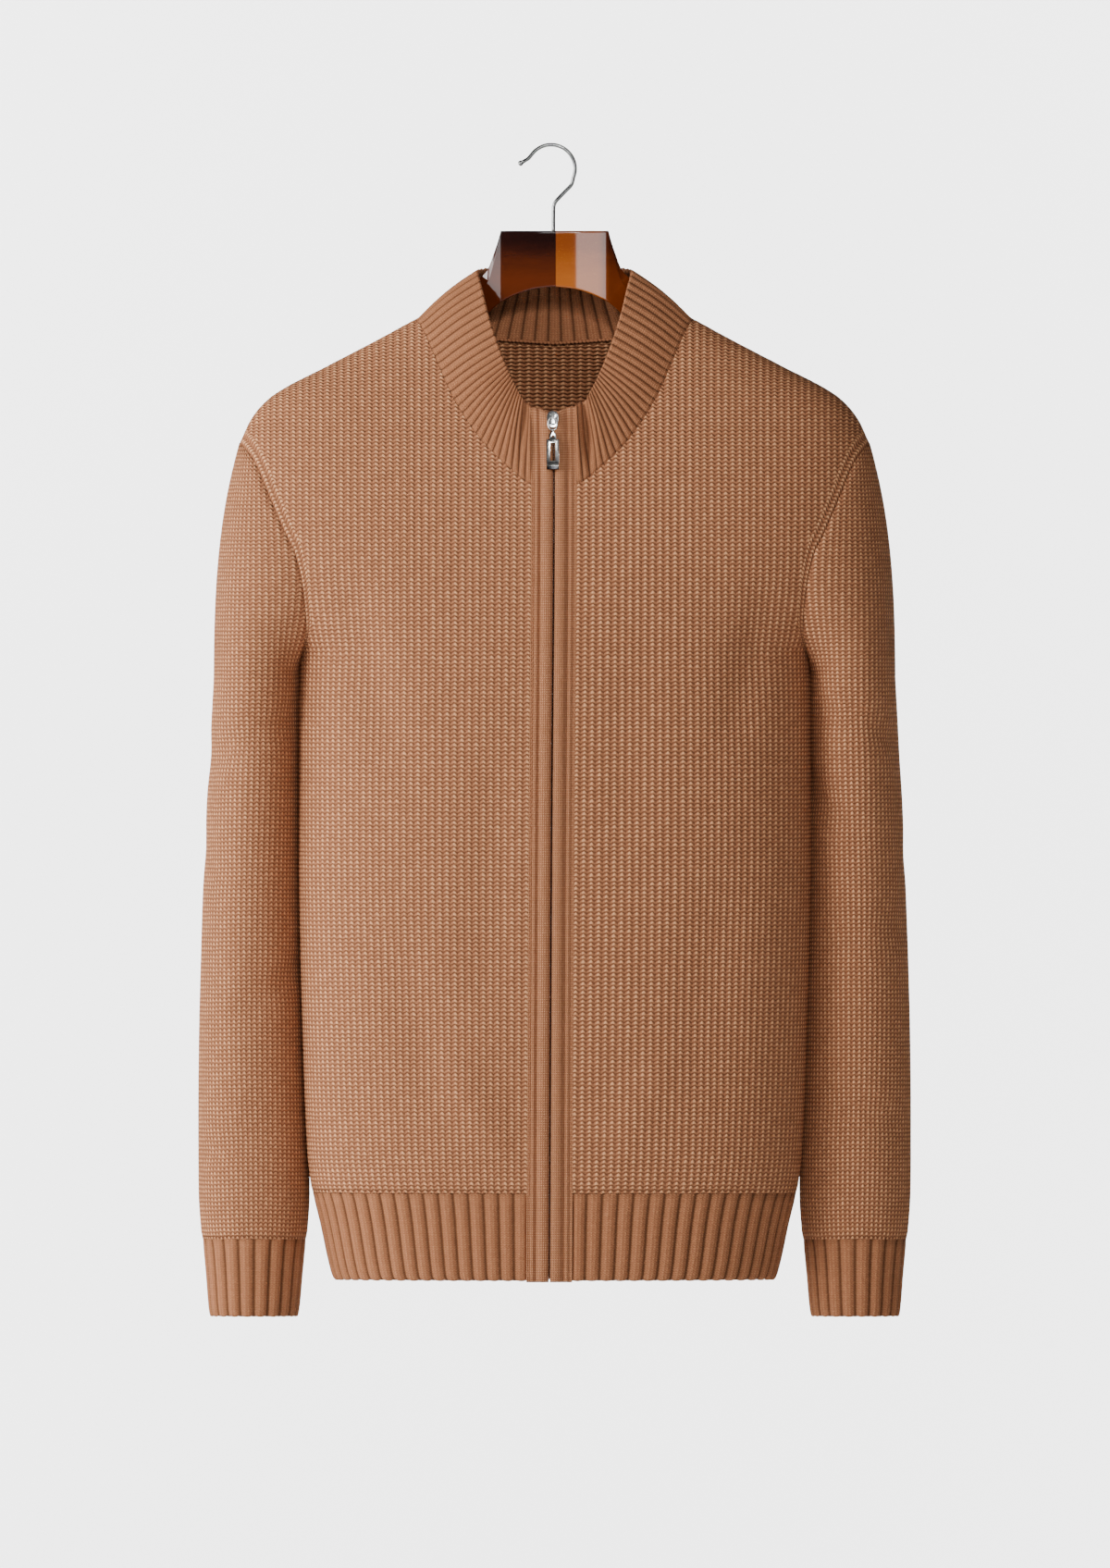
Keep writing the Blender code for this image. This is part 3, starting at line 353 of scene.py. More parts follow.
# %% Wrap a grid into a shell
def shell(
    name, grid, count, rise, thickness, knit, centre_x, around=0, ends=(0.5, 0.5), sides=0.5, layout=None, border=0
):
    """A closed shell of cloth under a grid, with its wales or ribs raised.

    count is each column's place in wales or ribs, and rise each row's or point's share of the relief. around is the
    count all round a tube. ends and sides say how far the borders are rounded, as shares of half the thickness.
    layout is the place of each point in wales and courses; near a side border the columns themselves count.
    """
    loop = around > 0
    normals = outward(grid, centre_x, loop)
    rows, columns = grid.shape[:2]
    rounding = np.zeros((rows, columns))
    rounding[0] = ends[0]
    rounding[-1] = ends[1]
    if not loop:
        rounding[:, 0] = np.maximum(rounding[:, 0], sides)
        rounding[:, -1] = np.maximum(rounding[:, -1], sides)
    sunk = (rounding * thickness / 2)[..., None]
    rise = np.broadcast_to(rise if np.ndim(rise) == 2 else np.reshape(rise, (-1, 1)), (rows, columns))
    own = (np.broadcast_to(count, (rows, columns)), way_up(grid, knit.course))
    layout = layout or own
    shape = bmesh.new()
    rib_layer = shape.verts.layers.float.new("rib")
    rise_layer = shape.verts.layers.float.new("rise")
    uv_layer = shape.loops.layers.uv.new("knit")
    skins = []
    for depth, shift in ((sunk, 0.0), (thickness - sunk, INSIDE_SHIFT)):
        skin = grid - normals * depth
        verts = {}
        for row, column in np.ndindex(rows, columns):
            vert = verts[row, column] = shape.verts.new(skin[row, column])
            vert[rib_layer] = count[column] + shift
            vert[rise_layer] = rise[row, column]
        skins.append(verts)

    def face(corners, shift=0.0):
        """One face from corners as (skin, row, column). A column past a tube's last is its first again."""
        made = shape.faces.new([skins[skin][row, column % columns] for skin, row, column in corners])
        made.smooth = True
        first = min(column for skin, row, column in corners)
        wales, courses = own if first < border - 1 or first >= columns - abs(border) else layout
        for corner, (skin, row, column) in zip(made.loops, corners):
            lap = around if column == columns else 0
            place = (row, column % columns)
            corner[uv_layer].uv = ((wales[place] + lap + shift) * knit.wales_a_rib, courses[place])

    across = columns if loop else columns - 1
    for skin, shift in ((0, 0.0), (1, INSIDE_SHIFT)):
        for row, column in np.ndindex(rows - 1, across):
            face([(skin, row + up, column + over) for up, over in QUAD], shift)
    for row in (0, rows - 1):
        for column in range(across):
            face(((0, row, column), (0, row, column + 1), (1, row, column + 1), (1, row, column)))
    for column in () if loop else (0, columns - 1):
        for row in range(rows - 1):
            face(((0, row, column), (0, row + 1, column), (1, row + 1, column), (1, row, column)))
    values = {"Depth": knit.depth, "Fullness": knit.fullness, "Look": knit.look}
    return repeat_on(name, mesh_of(name, shape), ribs_tree, values)

# %% [markdown]
# ## The shape of the body
# The body hangs like a barrel that is flatter than it is wide. Level sections describe it well: each is a rounded
# rectangle with its own half width, front and back depth. A smooth curve through the table gives every height
# between, and it never swings past the points it is given.

# %% Read the tables of sections
def smooth(at, knots, values):
    """A monotone cubic through the table's points."""
    knots = np.asarray(knots, float)
    values = np.asarray(values, float)
    step = np.diff(knots)
    slope = np.diff(values) / step
    product = slope[:-1] * slope[1:]
    total = slope[:-1] + slope[1:]
    level = product <= 0
    tangent = np.empty_like(values)
    tangent[0] = slope[0]
    tangent[-1] = slope[-1]
    tangent[1:-1] = np.where(level, 0.0, 2 * product / np.where(level, 1.0, total))
    at = np.clip(at, knots[0], knots[-1])
    cell = np.clip(np.searchsorted(knots, at, side="right") - 1, 0, len(step) - 1)
    t = (at - knots[cell]) / step[cell]
    start = values[cell] * (1 + 2 * t) + tangent[cell] * step[cell] * t
    end = values[cell + 1] * (3 - 2 * t) - tangent[cell + 1] * step[cell] * (1 - t)
    return start * (1 - t) ** 2 + end * t**2


def table(kind, *rows):
    return [kind(*row) for row in rows]


def column_of(rows, name):
    return [getattr(row, name) for row in rows]


def read(rows, at, name, by="drop"):
    return smooth(at, column_of(rows, by), column_of(rows, name))


Level = namedtuple("Level", "drop half_width front back power")
TORSO = table(
    Level,
    (0.1235, 0.0995, 0.022, 0.03, 2.2), (0.1373, 0.125, 0.03, 0.038, 2.2), (0.1571, 0.163, 0.039, 0.049, 2.2),
    (0.1769, 0.2, 0.049, 0.058, 2.2), (0.1868, 0.211, 0.0535, 0.0625, 2.2), (0.1967, 0.218, 0.058, 0.066, 2.2),
    (0.212, 0.225, 0.065, 0.07, 2.3), (0.24, 0.229, 0.0745, 0.076, 2.4), (0.27, 0.228, 0.081, 0.08, 2.5),
    (0.3, 0.22, 0.086, 0.083, 2.5), (0.33, 0.202, 0.089, 0.085, 2.5), (0.35, 0.189, 0.09, 0.086, 2.5),
    (0.362, 0.182, 0.0905, 0.086, 2.5), (0.4, 0.182, 0.091, 0.086, 2.5), (0.5, 0.182, 0.09, 0.0845, 2.5),
    (0.65, 0.1785, 0.0865, 0.081, 2.5), (0.72, 0.1755, 0.085, 0.079, 2.5), (0.748, 0.173, 0.0835, 0.0775, 2.5),
)
HEM = table(
    Level,
    (0.748, 0.173, 0.0835, 0.0775, 2.5), (0.768, 0.168, 0.081, 0.0758, 2.5), (0.8, 0.161, 0.0785, 0.0735, 2.5),
    (0.808, 0.1585, 0.0775, 0.0725, 2.5), (0.811, 0.156, 0.076, 0.071, 2.5),
)

# %% Places on the body
def leaned(rows, name, low, high, amount):
    """The table with one column changed by this amount between two heights, as soft cloth gives where it touches."""
    return [row._replace(**{name: getattr(row, name) + amount * (low < row.drop < high)}) for row in rows]


TORSO = leaned(TORSO, "half_width", 0.37, 0.74, 0.0008)


def body_y(rows, x, drop, face):
    """How far the body's outer side lies from the middle plane. face is -1 for the front and 1 for the back."""
    power = read(rows, drop, "power")
    depth = read(rows, drop, "front" if face < 0 else "back")
    share = np.clip(np.abs(x) / read(rows, drop, "half_width"), 0.0, 1.0)
    return face * depth * (1 - share**power) ** (1 / power)


def points_at(x, y, drop):
    return np.stack(np.broadcast_arrays(x, y, -np.asarray(drop)), axis=-1).astype(float)


def resample(points, shares):
    """The points at these shares of a polyline's length."""
    way = travelled(points)
    return np.stack([np.interp(shares * way[-1], way, points[:, axis]) for axis in range(3)], axis=1)

# %% [markdown]
# ## Fronts and back
# Each panel is laid out the way it was knitted. The wales near the zip run straight up and are cut off by the
# neckline; the outer ones fan out to the shoulder and the armhole. Soft creases come from a short table: each is a
# long shallow trough or ridge, and no two are alike.

# %% Seam lines of the body
ARMPIT = 0.362
HEM_TOP = 0.748
HEM_END = 0.811
SHOULDER_TIP = 0.212
NECK_X = 0.0995
NECK_DROP = 0.1235
NECK_FRONT = 0.2416
PLACKET_TOP = 0.1885
PLACKET_REACH = 0.0165
TUCK = 0.0014

Edge = namedtuple("Edge", "drop x")
ARMHOLE = table(
    Edge,
    (0.212, 0.225), (0.224, 0.2155), (0.256, 0.2016), (0.276, 0.193), (0.293, 0.185), (0.32, 0.1795),
    (0.345, 0.1775), (0.356, 0.179), (0.362, 0.182),
)
ZIP_LINE = (Edge(0.1870, -0.0015), Edge(0.2400, -0.0004), Edge(0.5000, -0.0022), Edge(0.8110, -0.0038))
Place = namedtuple("Place", "x drop")
NECK_FRONT_LINE = table(
    Place,
    (0.0, 0.2445), (0.0162, 0.2416), (0.0327, 0.2297), (0.0525, 0.2099), (0.0723, 0.1802), (0.0855, 0.1505),
    (0.0954, 0.1287), (0.0995, 0.1235),
)
NECK_BACK_LINE = (Place(0.0, 0.1406), Place(0.0500, 0.1370), Place(0.0820, 0.1290), Place(0.0995, 0.1235))


def zip_x(drop):
    return read(ZIP_LINE, drop, "x")


def armhole_drop(v):
    """The drop along the armhole, from the armpit at 0 to the shoulder tip at 1."""
    return (ARMPIT + SHOULDER_TIP) / 2 + (ARMPIT - SHOULDER_TIP) / 2 * np.cos(v * pi)


def shoulder_drop(x):
    """The drop of the shoulder's ridge, the other way round in the table of body widths."""
    ridge = [level for level in TORSO if level.drop <= SHOULDER_TIP]
    return smooth(x, column_of(ridge, "half_width"), column_of(ridge, "drop"))


Crease = namedtuple("Crease", "face x drop run_x run_drop width height")
# Soft creases of the body: where each starts, where it runs to, how wide it is and how far it stands out
BODY_CREASES = table(
    Crease,
    (-1, -0.15, 0.3, 0.035, 0.15, 0.016, -0.003), (-1, -0.12, 0.56, 0.045, 0.13, 0.02, -0.0024),
    (-1, -0.085, 0.64, 0.05, 0.085, 0.017, 0.0026), (-1, -0.04, 0.42, -0.01, 0.2, 0.018, -0.0016),
    (-1, 0.155, 0.31, -0.03, 0.12, 0.015, -0.0032), (-1, 0.12, 0.52, -0.02, 0.16, 0.022, -0.0022),
    (-1, 0.085, 0.65, -0.045, 0.07, 0.016, 0.002), (-1, 0.06, 0.33, -0.012, 0.19, 0.019, -0.0014),
    (1, -0.145, 0.3, 0.05, 0.14, 0.018, -0.003), (1, -0.06, 0.42, 0.015, 0.23, 0.022, -0.0022),
    (1, 0.02, 0.56, -0.02, 0.15, 0.02, 0.002), (1, 0.15, 0.32, -0.055, 0.12, 0.017, -0.0034),
    (1, 0.1, 0.56, -0.02, 0.13, 0.024, -0.0024),
)


CREASE_RUN = 0.42

# %% Creases of the body
def crease_height(across, along, face):
    """How far creases lift the cloth at these places, each fading along its run and to both sides."""
    total = np.zeros(np.broadcast(across, along).shape)
    for crease in (row for row in BODY_CREASES if row.face == face):
        length = np.hypot(crease.run_x, crease.run_drop)
        ahead_x = crease.run_x / length
        ahead_drop = crease.run_drop / length
        away_x = across - crease.x
        away_drop = along - crease.drop
        from_middle = (away_x * ahead_x + away_drop * ahead_drop) / length - 0.5
        beside = (away_drop * ahead_x - away_x * ahead_drop) / crease.width
        total = total + crease.height * np.exp(-(beside**2)) * np.exp(-((from_middle / CREASE_RUN) ** 4))
    return total


COLUMNS_A_WALE = 4
NECK_WALES = 16
FAN_WALES = 25
NECK_COLUMNS = NECK_WALES * COLUMNS_A_WALE
LOWER_ROWS = 64
UPPER_ROWS = 36
DENSE = 160


def fade_at_borders(grid, reach=0.018):
    """1 in the middle of a panel and 0 on its border, so that creases don't open the seams."""
    rows, columns = grid.shape[:2]
    up = travelled(grid[:, columns // 2])
    over = travelled(grid[rows // 3])
    from_ends = np.minimum(up, up[-1] - up)[:, None]
    from_sides = np.minimum(over, over[-1] - over)[None]
    return np.clip(from_ends / reach, 0, 1) ** 2 * np.clip(from_sides / reach, 0, 1) ** 2

# %% Grids of the fronts and back
def row_of_panel(face, side, start, neck_drop, edge_x, edge_drop, scale, lift):
    """One row: even wales up to the neck's width, then wales of even length out to the side."""
    neck = np.arange(NECK_COLUMNS + 1) / NECK_COLUMNS
    turn = np.sin(np.linspace(0.0, pi / 2, DENSE))
    neck_x = start + (side * NECK_X * scale - start) * neck
    fan_x = side * (NECK_X * scale + turn * (edge_x - NECK_X * scale))
    fan_drop = (1 - turn) * neck_drop[-1] + turn * edge_drop + lift(turn)
    fan_y = body_y(TORSO, fan_x, fan_drop, face)
    shares = np.arange(1, FAN_WALES * COLUMNS_A_WALE + 1) / (FAN_WALES * COLUMNS_A_WALE)
    fan = resample(points_at(fan_x, fan_y, fan_drop), shares)
    flat = points_at(neck_x, body_y(TORSO, neck_x, neck_drop, face), neck_drop)
    return np.concatenate([flat, fan])


def half_panel(face, side, inner_edge):
    """Half of a front or back, rows from the hem up and columns from inner_edge(drop) out to the side."""
    chest = read(TORSO, ARMPIT, "half_width")
    columns = NECK_COLUMNS + 1
    rows = []
    for drop in np.linspace(HEM_TOP, ARMPIT, LOWER_ROWS + 1)[:-1]:
        scale = read(TORSO, drop, "half_width") / chest
        level = np.full(columns, drop)
        rows.append(row_of_panel(face, side, inner_edge(drop), level, chest * scale, drop, scale, lambda turn: 0.0))
    neckline = NECK_FRONT_LINE if face < 0 else NECK_BACK_LINE
    start = inner_edge(NECK_FRONT)
    neck_x = start + (side * NECK_X - start) * np.arange(columns) / (columns - 1)
    neck_top_drop = read(neckline, np.abs(neck_x), "drop", by="x")
    tip_x = read(ARMHOLE, SHOULDER_TIP, "x")

    def ridge_lift(turn):
        return shoulder_drop(NECK_X + turn * (tip_x - NECK_X)) - (NECK_DROP + turn * (SHOULDER_TIP - NECK_DROP))

    for v in np.linspace(0.0, 1.0, UPPER_ROWS + 1):
        neck_drop = ARMPIT - (ARMPIT - neck_top_drop) * sin(v * pi / 2)
        edge_drop = armhole_drop(v)
        edge_x = read(ARMHOLE, edge_drop, "x")
        start = inner_edge(max(neck_drop[0], NECK_FRONT))
        row = row_of_panel(face, side, start, neck_drop, edge_x, edge_drop, 1.0, lambda turn: v**2 * ridge_lift(turn))
        if v == 1.0:
            row[columns - 1 :, 1] = 0.0
        rows.append(row)
    return np.array(rows)


def creased(grid, face):
    lift = crease_height(grid[..., 0], -grid[..., 2], face) * fade_at_borders(grid)
    return grid + outward(grid, 0.0, False) * lift[..., None]


def front_edge(drop, side):
    """Where a front ends beside the zip, a little under its placket."""
    return float(zip_x(drop)) + side * (PLACKET_REACH - TUCK)


front_grids = {side: half_panel(-1, side, lambda drop, side=side: front_edge(drop, side)) for side, word in SIDES}
left_back = half_panel(1, 1, lambda drop: 0.0)
right_back = half_panel(1, -1, lambda drop: 0.0)
back_grid = np.concatenate([right_back[:, :0:-1], left_back], axis=1)
print("front", front_grids[1].shape, "back", back_grid.shape)

# %% [markdown]
# ## The wales on a panel
# A panel is shaped by adding or dropping loops at its edges, while the wales inside it run straight on. The grid's
# columns follow the armhole instead, because that gives clean edges. So the layout is worked out apart from the
# grid: wales by the length across the body, courses by the length up it. The relief follows the columns and so
# fades out where the two part, and there the material alone draws the wales.

# %% Lay out the wales of the fronts and back
BODY_WALL = 0.0030
WALE_LIFT = 0.0004
PATH_STEPS = 60
STEEPEST = 2.0
SHOULDER_START = 0.27
WIDEST = 0.24
BORDER_WALES = 2
NECK_FADE = 8
ROW_FADE = 4


def wale_count(grid):
    return np.arange(grid.shape[1]) / COLUMNS_A_WALE


def path_length(x_from, x_to, drop_from, drop_to, face, steepest):
    """The length over the body's surface between two places, along a straight line as seen from the front."""
    share = np.sin(np.linspace(0.0, pi / 2, PATH_STEPS)).reshape(-1, 1, 1)
    x = x_from + (x_to - x_from) * share
    drop = drop_from + (drop_to - drop_from) * share
    flat = np.hypot(np.diff(x, axis=0), np.diff(drop, axis=0))
    deep = np.abs(np.diff(body_y(TORSO, x, drop, face), axis=0))
    return np.hypot(flat, np.minimum(deep, steepest * flat)).sum(axis=0)


def lay_out(half, face):
    """The wales and courses at each point of half a panel. The wales run straight up, whatever the armhole does."""
    wales = np.broadcast_to(wale_count(half), half.shape[:2]).copy()
    courses = way_up(half, BODY.course)
    beyond_neck = (slice(LOWER_ROWS, None), slice(NECK_COLUMNS + 1, None))
    fan = half[beyond_neck]
    x = np.abs(fan[..., 0])
    drop = -fan[..., 2]
    level = np.maximum(drop, WIDEST)
    run = path_length(NECK_X, x, level, level, face, np.inf)
    wales[beyond_neck] = NECK_WALES + FAN_WALES * run / run[0, -1]
    climb = path_length(x, x, np.maximum(SHOULDER_START, drop), drop, face, STEEPEST)
    upright = ARMPIT - np.maximum(drop, SHOULDER_START) + climb
    courses[beyond_neck] = courses[LOWER_ROWS, NECK_COLUMNS + 1 :] + upright / BODY.course
    return wales, courses

# %% Knit a panel
def relief_of(half):
    """Full relief where the columns are the wales: low down, near the neck and beside the armhole."""
    rows, columns = half.shape[:2]
    column = np.arange(columns)
    beside_neck = np.clip((NECK_COLUMNS + NECK_FADE - column) / NECK_FADE, 0, 1)
    beside_edge = column > columns - 1 - BORDER_WALES * COLUMNS_A_WALE
    low_down = np.clip((LOWER_ROWS + 1 - np.arange(rows)) / ROW_FADE, 0, 1)
    rise = np.maximum(low_down[:, None], np.maximum(beside_neck, beside_edge)[None])
    rise[0] = rise[-1] = 0.0
    return rise


def knit_panel(name, grid, face, halves):
    """A front from one half, or the back from its right and left halves, with their layouts side by side."""
    laid = [lay_out(half, face) for half in halves]
    wales, courses = laid[-1]
    rise = relief_of(halves[-1])
    border = -BORDER_WALES * COLUMNS_A_WALE
    if len(halves) == 2:
        middle = (halves[1].shape[1] - 1) / COLUMNS_A_WALE
        wales = np.concatenate([middle - laid[0][0][:, :0:-1], middle + wales], axis=1)
        courses = np.concatenate([laid[0][1][:, :0:-1], courses], axis=1)
        rise = np.concatenate([rise[:, :0:-1], rise], axis=1)
        border = -border
    form = creased(grid, face)
    lift = np.full(grid.shape[:2], WALE_LIFT)
    lift[0] = lift[-1] = 0.0
    form = form + lift[..., None] * outward(form, 0.0, False)
    ends = (0.3, 0.0)
    return shell(name, form, wale_count(form), rise, BODY_WALL, BODY, 0.0, 0, ends, 0.2, (wales, courses), border)


# %% Knit the fronts and back
for side, word in SIDES:
    knit_panel(f"knit_front_{word}", front_grids[side], -1, [front_grids[side]])
knit_panel("knit_back", back_grid, 1, [right_back, left_back])

# %% [markdown]
# ## Sleeves
# A set-in sleeve leaves the armhole at a slant, turns over the shoulder and then hangs straight down. Its rings
# start on the armhole's own curve and end as level ovals, with a smooth blend for the head. The wales run down the
# arm, and a few short creases cross the sleeve at the elbow and under the arm.

# %% Rings of the sleeve
Rim = namedtuple("Rim", "x y drop")
SleeveLevel = namedtuple("SleeveLevel", "drop inner outer half_depth back power")
SLEEVE = table(
    SleeveLevel,
    (0.38, 0.1834, 0.2434, 0.064, 0.012, 2.3), (0.424, 0.1828, 0.2459, 0.062, 0.019, 2.2),
    (0.477, 0.1818, 0.2489, 0.0585, 0.022, 2.1), (0.53, 0.1815, 0.2512, 0.055, 0.023, 2.1),
    (0.5828, 0.1805, 0.2528, 0.0515, 0.023, 2.1), (0.6356, 0.1795, 0.2541, 0.048, 0.022, 2.1),
    (0.69, 0.178, 0.2546, 0.0445, 0.021, 2.1), (0.72, 0.177, 0.2546, 0.043, 0.02, 2.1),
    (0.748, 0.1755, 0.2543, 0.0415, 0.019, 2.1), (0.781, 0.1775, 0.252, 0.0395, 0.018, 2.1),
)
CUFF = table(
    SleeveLevel,
    (0.781, 0.1775, 0.252, 0.0395, 0.018, 2.1), (0.806, 0.1799, 0.2497, 0.0357, 0.017, 2.1),
    (0.833, 0.1825, 0.2474, 0.0325, 0.016, 2.1), (0.837, 0.1837, 0.2462, 0.0313, 0.016, 2.1),
)
SLEEVE = leaned(SLEEVE, "inner", 0.37, 0.74, -0.0014)
ARM_MIDDLE = (SLEEVE[0].inner + SLEEVE[0].outer) / 2
HEAD_START = (Rim(0.20, 0.0, 0.98), Rim(0.60, -0.10, 0.80), Rim(0.27, 0.0, 0.96))
SLEEVE_WALES = 72
SEAM_TUCK = 0.0022
HEAD_ROWS = 24
ARM_ROWS = 72
RING_POINTS = 480


def signed_power(value, power):
    return np.sign(value) * np.abs(value) ** power


def sleeve_ring(levels, drop, side, angles):
    inner = read(levels, drop, "inner")
    outer = read(levels, drop, "outer")
    power = 2 / read(levels, drop, "power")
    x = (inner + outer) / 2 - (outer - inner) / 2 * signed_power(np.cos(angles), power)
    y = read(levels, drop, "back") - read(levels, drop, "half_depth") * signed_power(np.sin(angles), power)
    return points_at(side * x, y, drop)

# %% The sleeve's head and its grid
def armhole_loop(side, angles):
    """The armhole at these angles: from the armpit up the front to the shoulder tip, and down the back."""
    v = np.minimum(angles, 2 * pi - angles) / pi
    drop = armhole_drop(v)
    x = read(ARMHOLE, drop, "x")
    y = np.where(angles < pi, body_y(TORSO, x, drop, -1), body_y(TORSO, x, drop, 1))
    y[v > 0.999] = 0.0
    return points_at(side * x, y, drop)


def sleeve_grid(side):
    """Rings from the armhole down: a curved head, then level rings to the cuff."""
    angles = np.linspace(0.0, 2 * pi, RING_POINTS)
    armhole = armhole_loop(side, angles)
    first = sleeve_ring(SLEEVE, SLEEVE[0].drop, side, angles)
    around = np.minimum(angles, 2 * pi - angles) / pi
    columns = [column_of(HEAD_START, name) for name in Rim._fields]
    start = np.stack([np.interp(around, (0.0, 0.5, 1.0), column) for column in columns], axis=1)
    start *= np.stack([np.full(len(angles), side), np.sign(np.sin(angles)), -np.ones(len(angles))], axis=1)
    reach = np.linalg.norm(first - armhole, axis=1, keepdims=True)
    start = unit(start) * reach
    end = np.array([0.0, 0.0, -1.0]) * reach
    rings = [armhole + SEAM_TUCK * (unit(armhole.mean(axis=0) - armhole) - unit(start))]
    for t in np.arange(HEAD_ROWS) / HEAD_ROWS:
        blend = armhole * (1 + 2 * t) * (1 - t) ** 2 + first * (3 - 2 * t) * t**2
        rings.append(blend + start * t * (1 - t) ** 2 - end * (1 - t) * t**2)
    for drop in np.linspace(SLEEVE[0].drop, SLEEVE[-1].drop, ARM_ROWS + 1):
        rings.append(sleeve_ring(SLEEVE, drop, side, angles))
    shares = np.arange(SLEEVE_WALES * COLUMNS_A_WALE) / (SLEEVE_WALES * COLUMNS_A_WALE)
    return np.array([resample(ring, shares) for ring in rings])


Wrinkle = namedtuple("Wrinkle", "side turn drop width reach tilt height")
# Creases across the sleeves: where round the arm, how high, how far they reach and how they tilt
SLEEVE_WRINKLES = table(
    Wrinkle,
    (1, 0.3, 0.415, 0.012, 0.16, 0.1, -0.0028), (1, 0.16, 0.47, 0.014, 0.13, 0.16, -0.0026),
    (1, 0.33, 0.56, 0.015, 0.14, -0.08, -0.0022), (1, 0.6, 0.52, 0.017, 0.18, 0.12, -0.0012),
    (1, 0.28, 0.69, 0.011, 0.12, 0.06, -0.002), (1, 0.75, 0.65, 0.013, 0.14, -0.1, -0.0024),
    (-1, 0.27, 0.425, 0.013, 0.15, 0.12, -0.0028), (-1, 0.4, 0.51, 0.017, 0.17, -0.08, -0.0012),
    (-1, 0.18, 0.6, 0.014, 0.12, 0.14, -0.0024), (-1, 0.62, 0.45, 0.013, 0.15, 0.1, -0.0028),
    (-1, 0.33, 0.715, 0.01, 0.13, 0.05, -0.0018), (-1, 0.8, 0.6, 0.014, 0.15, -0.12, -0.0024),
)

# %% Wrinkle and lay out the sleeve
def wrinkled(grid, side, centre_x):
    turn = np.arange(grid.shape[1])[None] / grid.shape[1]
    drop = -grid[..., 2]
    lift = np.zeros(drop.shape)
    for wrinkle in SLEEVE_WRINKLES:
        if wrinkle.side == side:
            away = turn - wrinkle.turn
            up = (drop - wrinkle.drop - wrinkle.tilt * away) / wrinkle.width
            lift += wrinkle.height * np.exp(-(up**2)) * np.exp(-((away / wrinkle.reach) ** 4))
    lift *= np.clip((SLEEVE[-1].drop - drop) / 0.03, 0, 1)
    return grid + outward(grid, centre_x, True) * lift[..., None]


HEAD_STRETCH = 1.1


def sleeve_layout(grid):
    """Wales by the angle round the arm and courses by height, so that the armhole cuts straight wales off."""
    first = HEAD_ROWS + 1
    angle = np.arctan2(SLEEVE[0].back - grid[..., 1], ARM_MIDDLE - np.abs(grid[..., 0]))
    column_angle = np.arange(grid.shape[1]) / grid.shape[1] * 2 * pi
    angle = angle + 2 * pi * np.round((column_angle - angle) / (2 * pi))
    ring = angle[first]
    laps = np.concatenate([ring - 2 * pi, ring, ring + 2 * pi])
    count = wale_count(grid)
    wales = np.interp(angle, laps, np.concatenate([count - SLEEVE_WALES, count, count + SLEEVE_WALES]))
    wales[first:] = count
    courses = -way_up(grid, BODY.course)
    courses -= courses[first]
    higher = grid[:first, :, 2] - grid[first, :, 2]
    courses[:first] = courses[first] + HEAD_STRETCH * higher / BODY.course
    return wales, courses


for side, word in SIDES:
    middle = side * ARM_MIDDLE
    plain = sleeve_grid(side)
    grid = wrinkled(plain, side, middle)
    rise = np.clip((np.arange(len(grid)) - HEAD_ROWS + ROW_FADE) / ROW_FADE, 0, 1)
    rise[-1] = 0.0
    grid = grid + WALE_LIFT * outward(grid, middle, True)
    wales = wale_count(grid)
    laid = sleeve_layout(plain)
    name = f"sleeve_{word}"
    shell(f"knit_{name}", grid, wales, rise, BODY_WALL, BODY, middle, SLEEVE_WALES, layout=laid)

# %% [markdown]
# ## Hem band and cuffs
# The bands are knitted in a broad rib that pulls the cloth in. Ribs on the hem lean inwards as they go down because
# the band is narrower at its edge. Eight columns a rib give them a full round crest and tight grooves between them,
# which the rib knit darkens with painted shade.

# %% Knit the hem band and cuffs
HEM_RIBS = 18
CUFF_RIBS = 20
COLUMNS_A_RIB = 8
BAND_WALL = 0.0036
BAND_ROWS = 15
SECTION_STEPS = 400


def rib_count(ribs, closing=True):
    return np.arange(ribs * COLUMNS_A_RIB + closing) / COLUMNS_A_RIB


def band_drops(levels):
    """Rows of a band, closer together at its lower edge, where it rolls in."""
    steps = np.linspace(0.0, 1.0, BAND_ROWS)
    return levels[0].drop + (levels[-1].drop - levels[0].drop) * (1 - (1 - steps) ** 1.6)

# %% Grids of the hem band
def hem_run(face, side, drop, from_x):
    """Half of a level section of the hem, from near the middle out to the side seam."""
    half_width = read(HEM, drop, "half_width")
    angles = np.linspace(0.0, pi / 2, SECTION_STEPS)
    x = from_x + (side * half_width - from_x) * np.sin(angles)
    return points_at(x, body_y(HEM, x, drop, face), drop)


def hem_grid(face, side):
    rows = []
    for drop in band_drops(HEM):
        if side:
            run = hem_run(face, side, drop, front_edge(drop, side))
            ribs = HEM_RIBS
        else:
            half = hem_run(face, 1, drop, 0.0)
            run = np.concatenate([half[:0:-1] * (-1, 1, 1), half])
            ribs = 2 * HEM_RIBS + 2
        rows.append(resample(run, rib_count(ribs) / ribs))
    return np.array(rows)


def knit_band(name, grid, centre_x, around=0):
    rise = np.ones(len(grid))
    rise[0] = 0.45
    rise[-1] = 0.7
    count = rib_count(grid.shape[1] // COLUMNS_A_RIB, not around)
    return shell(name, grid, count, rise, BAND_WALL, RIB, centre_x, around, (0.2, 0.75), 0.3)


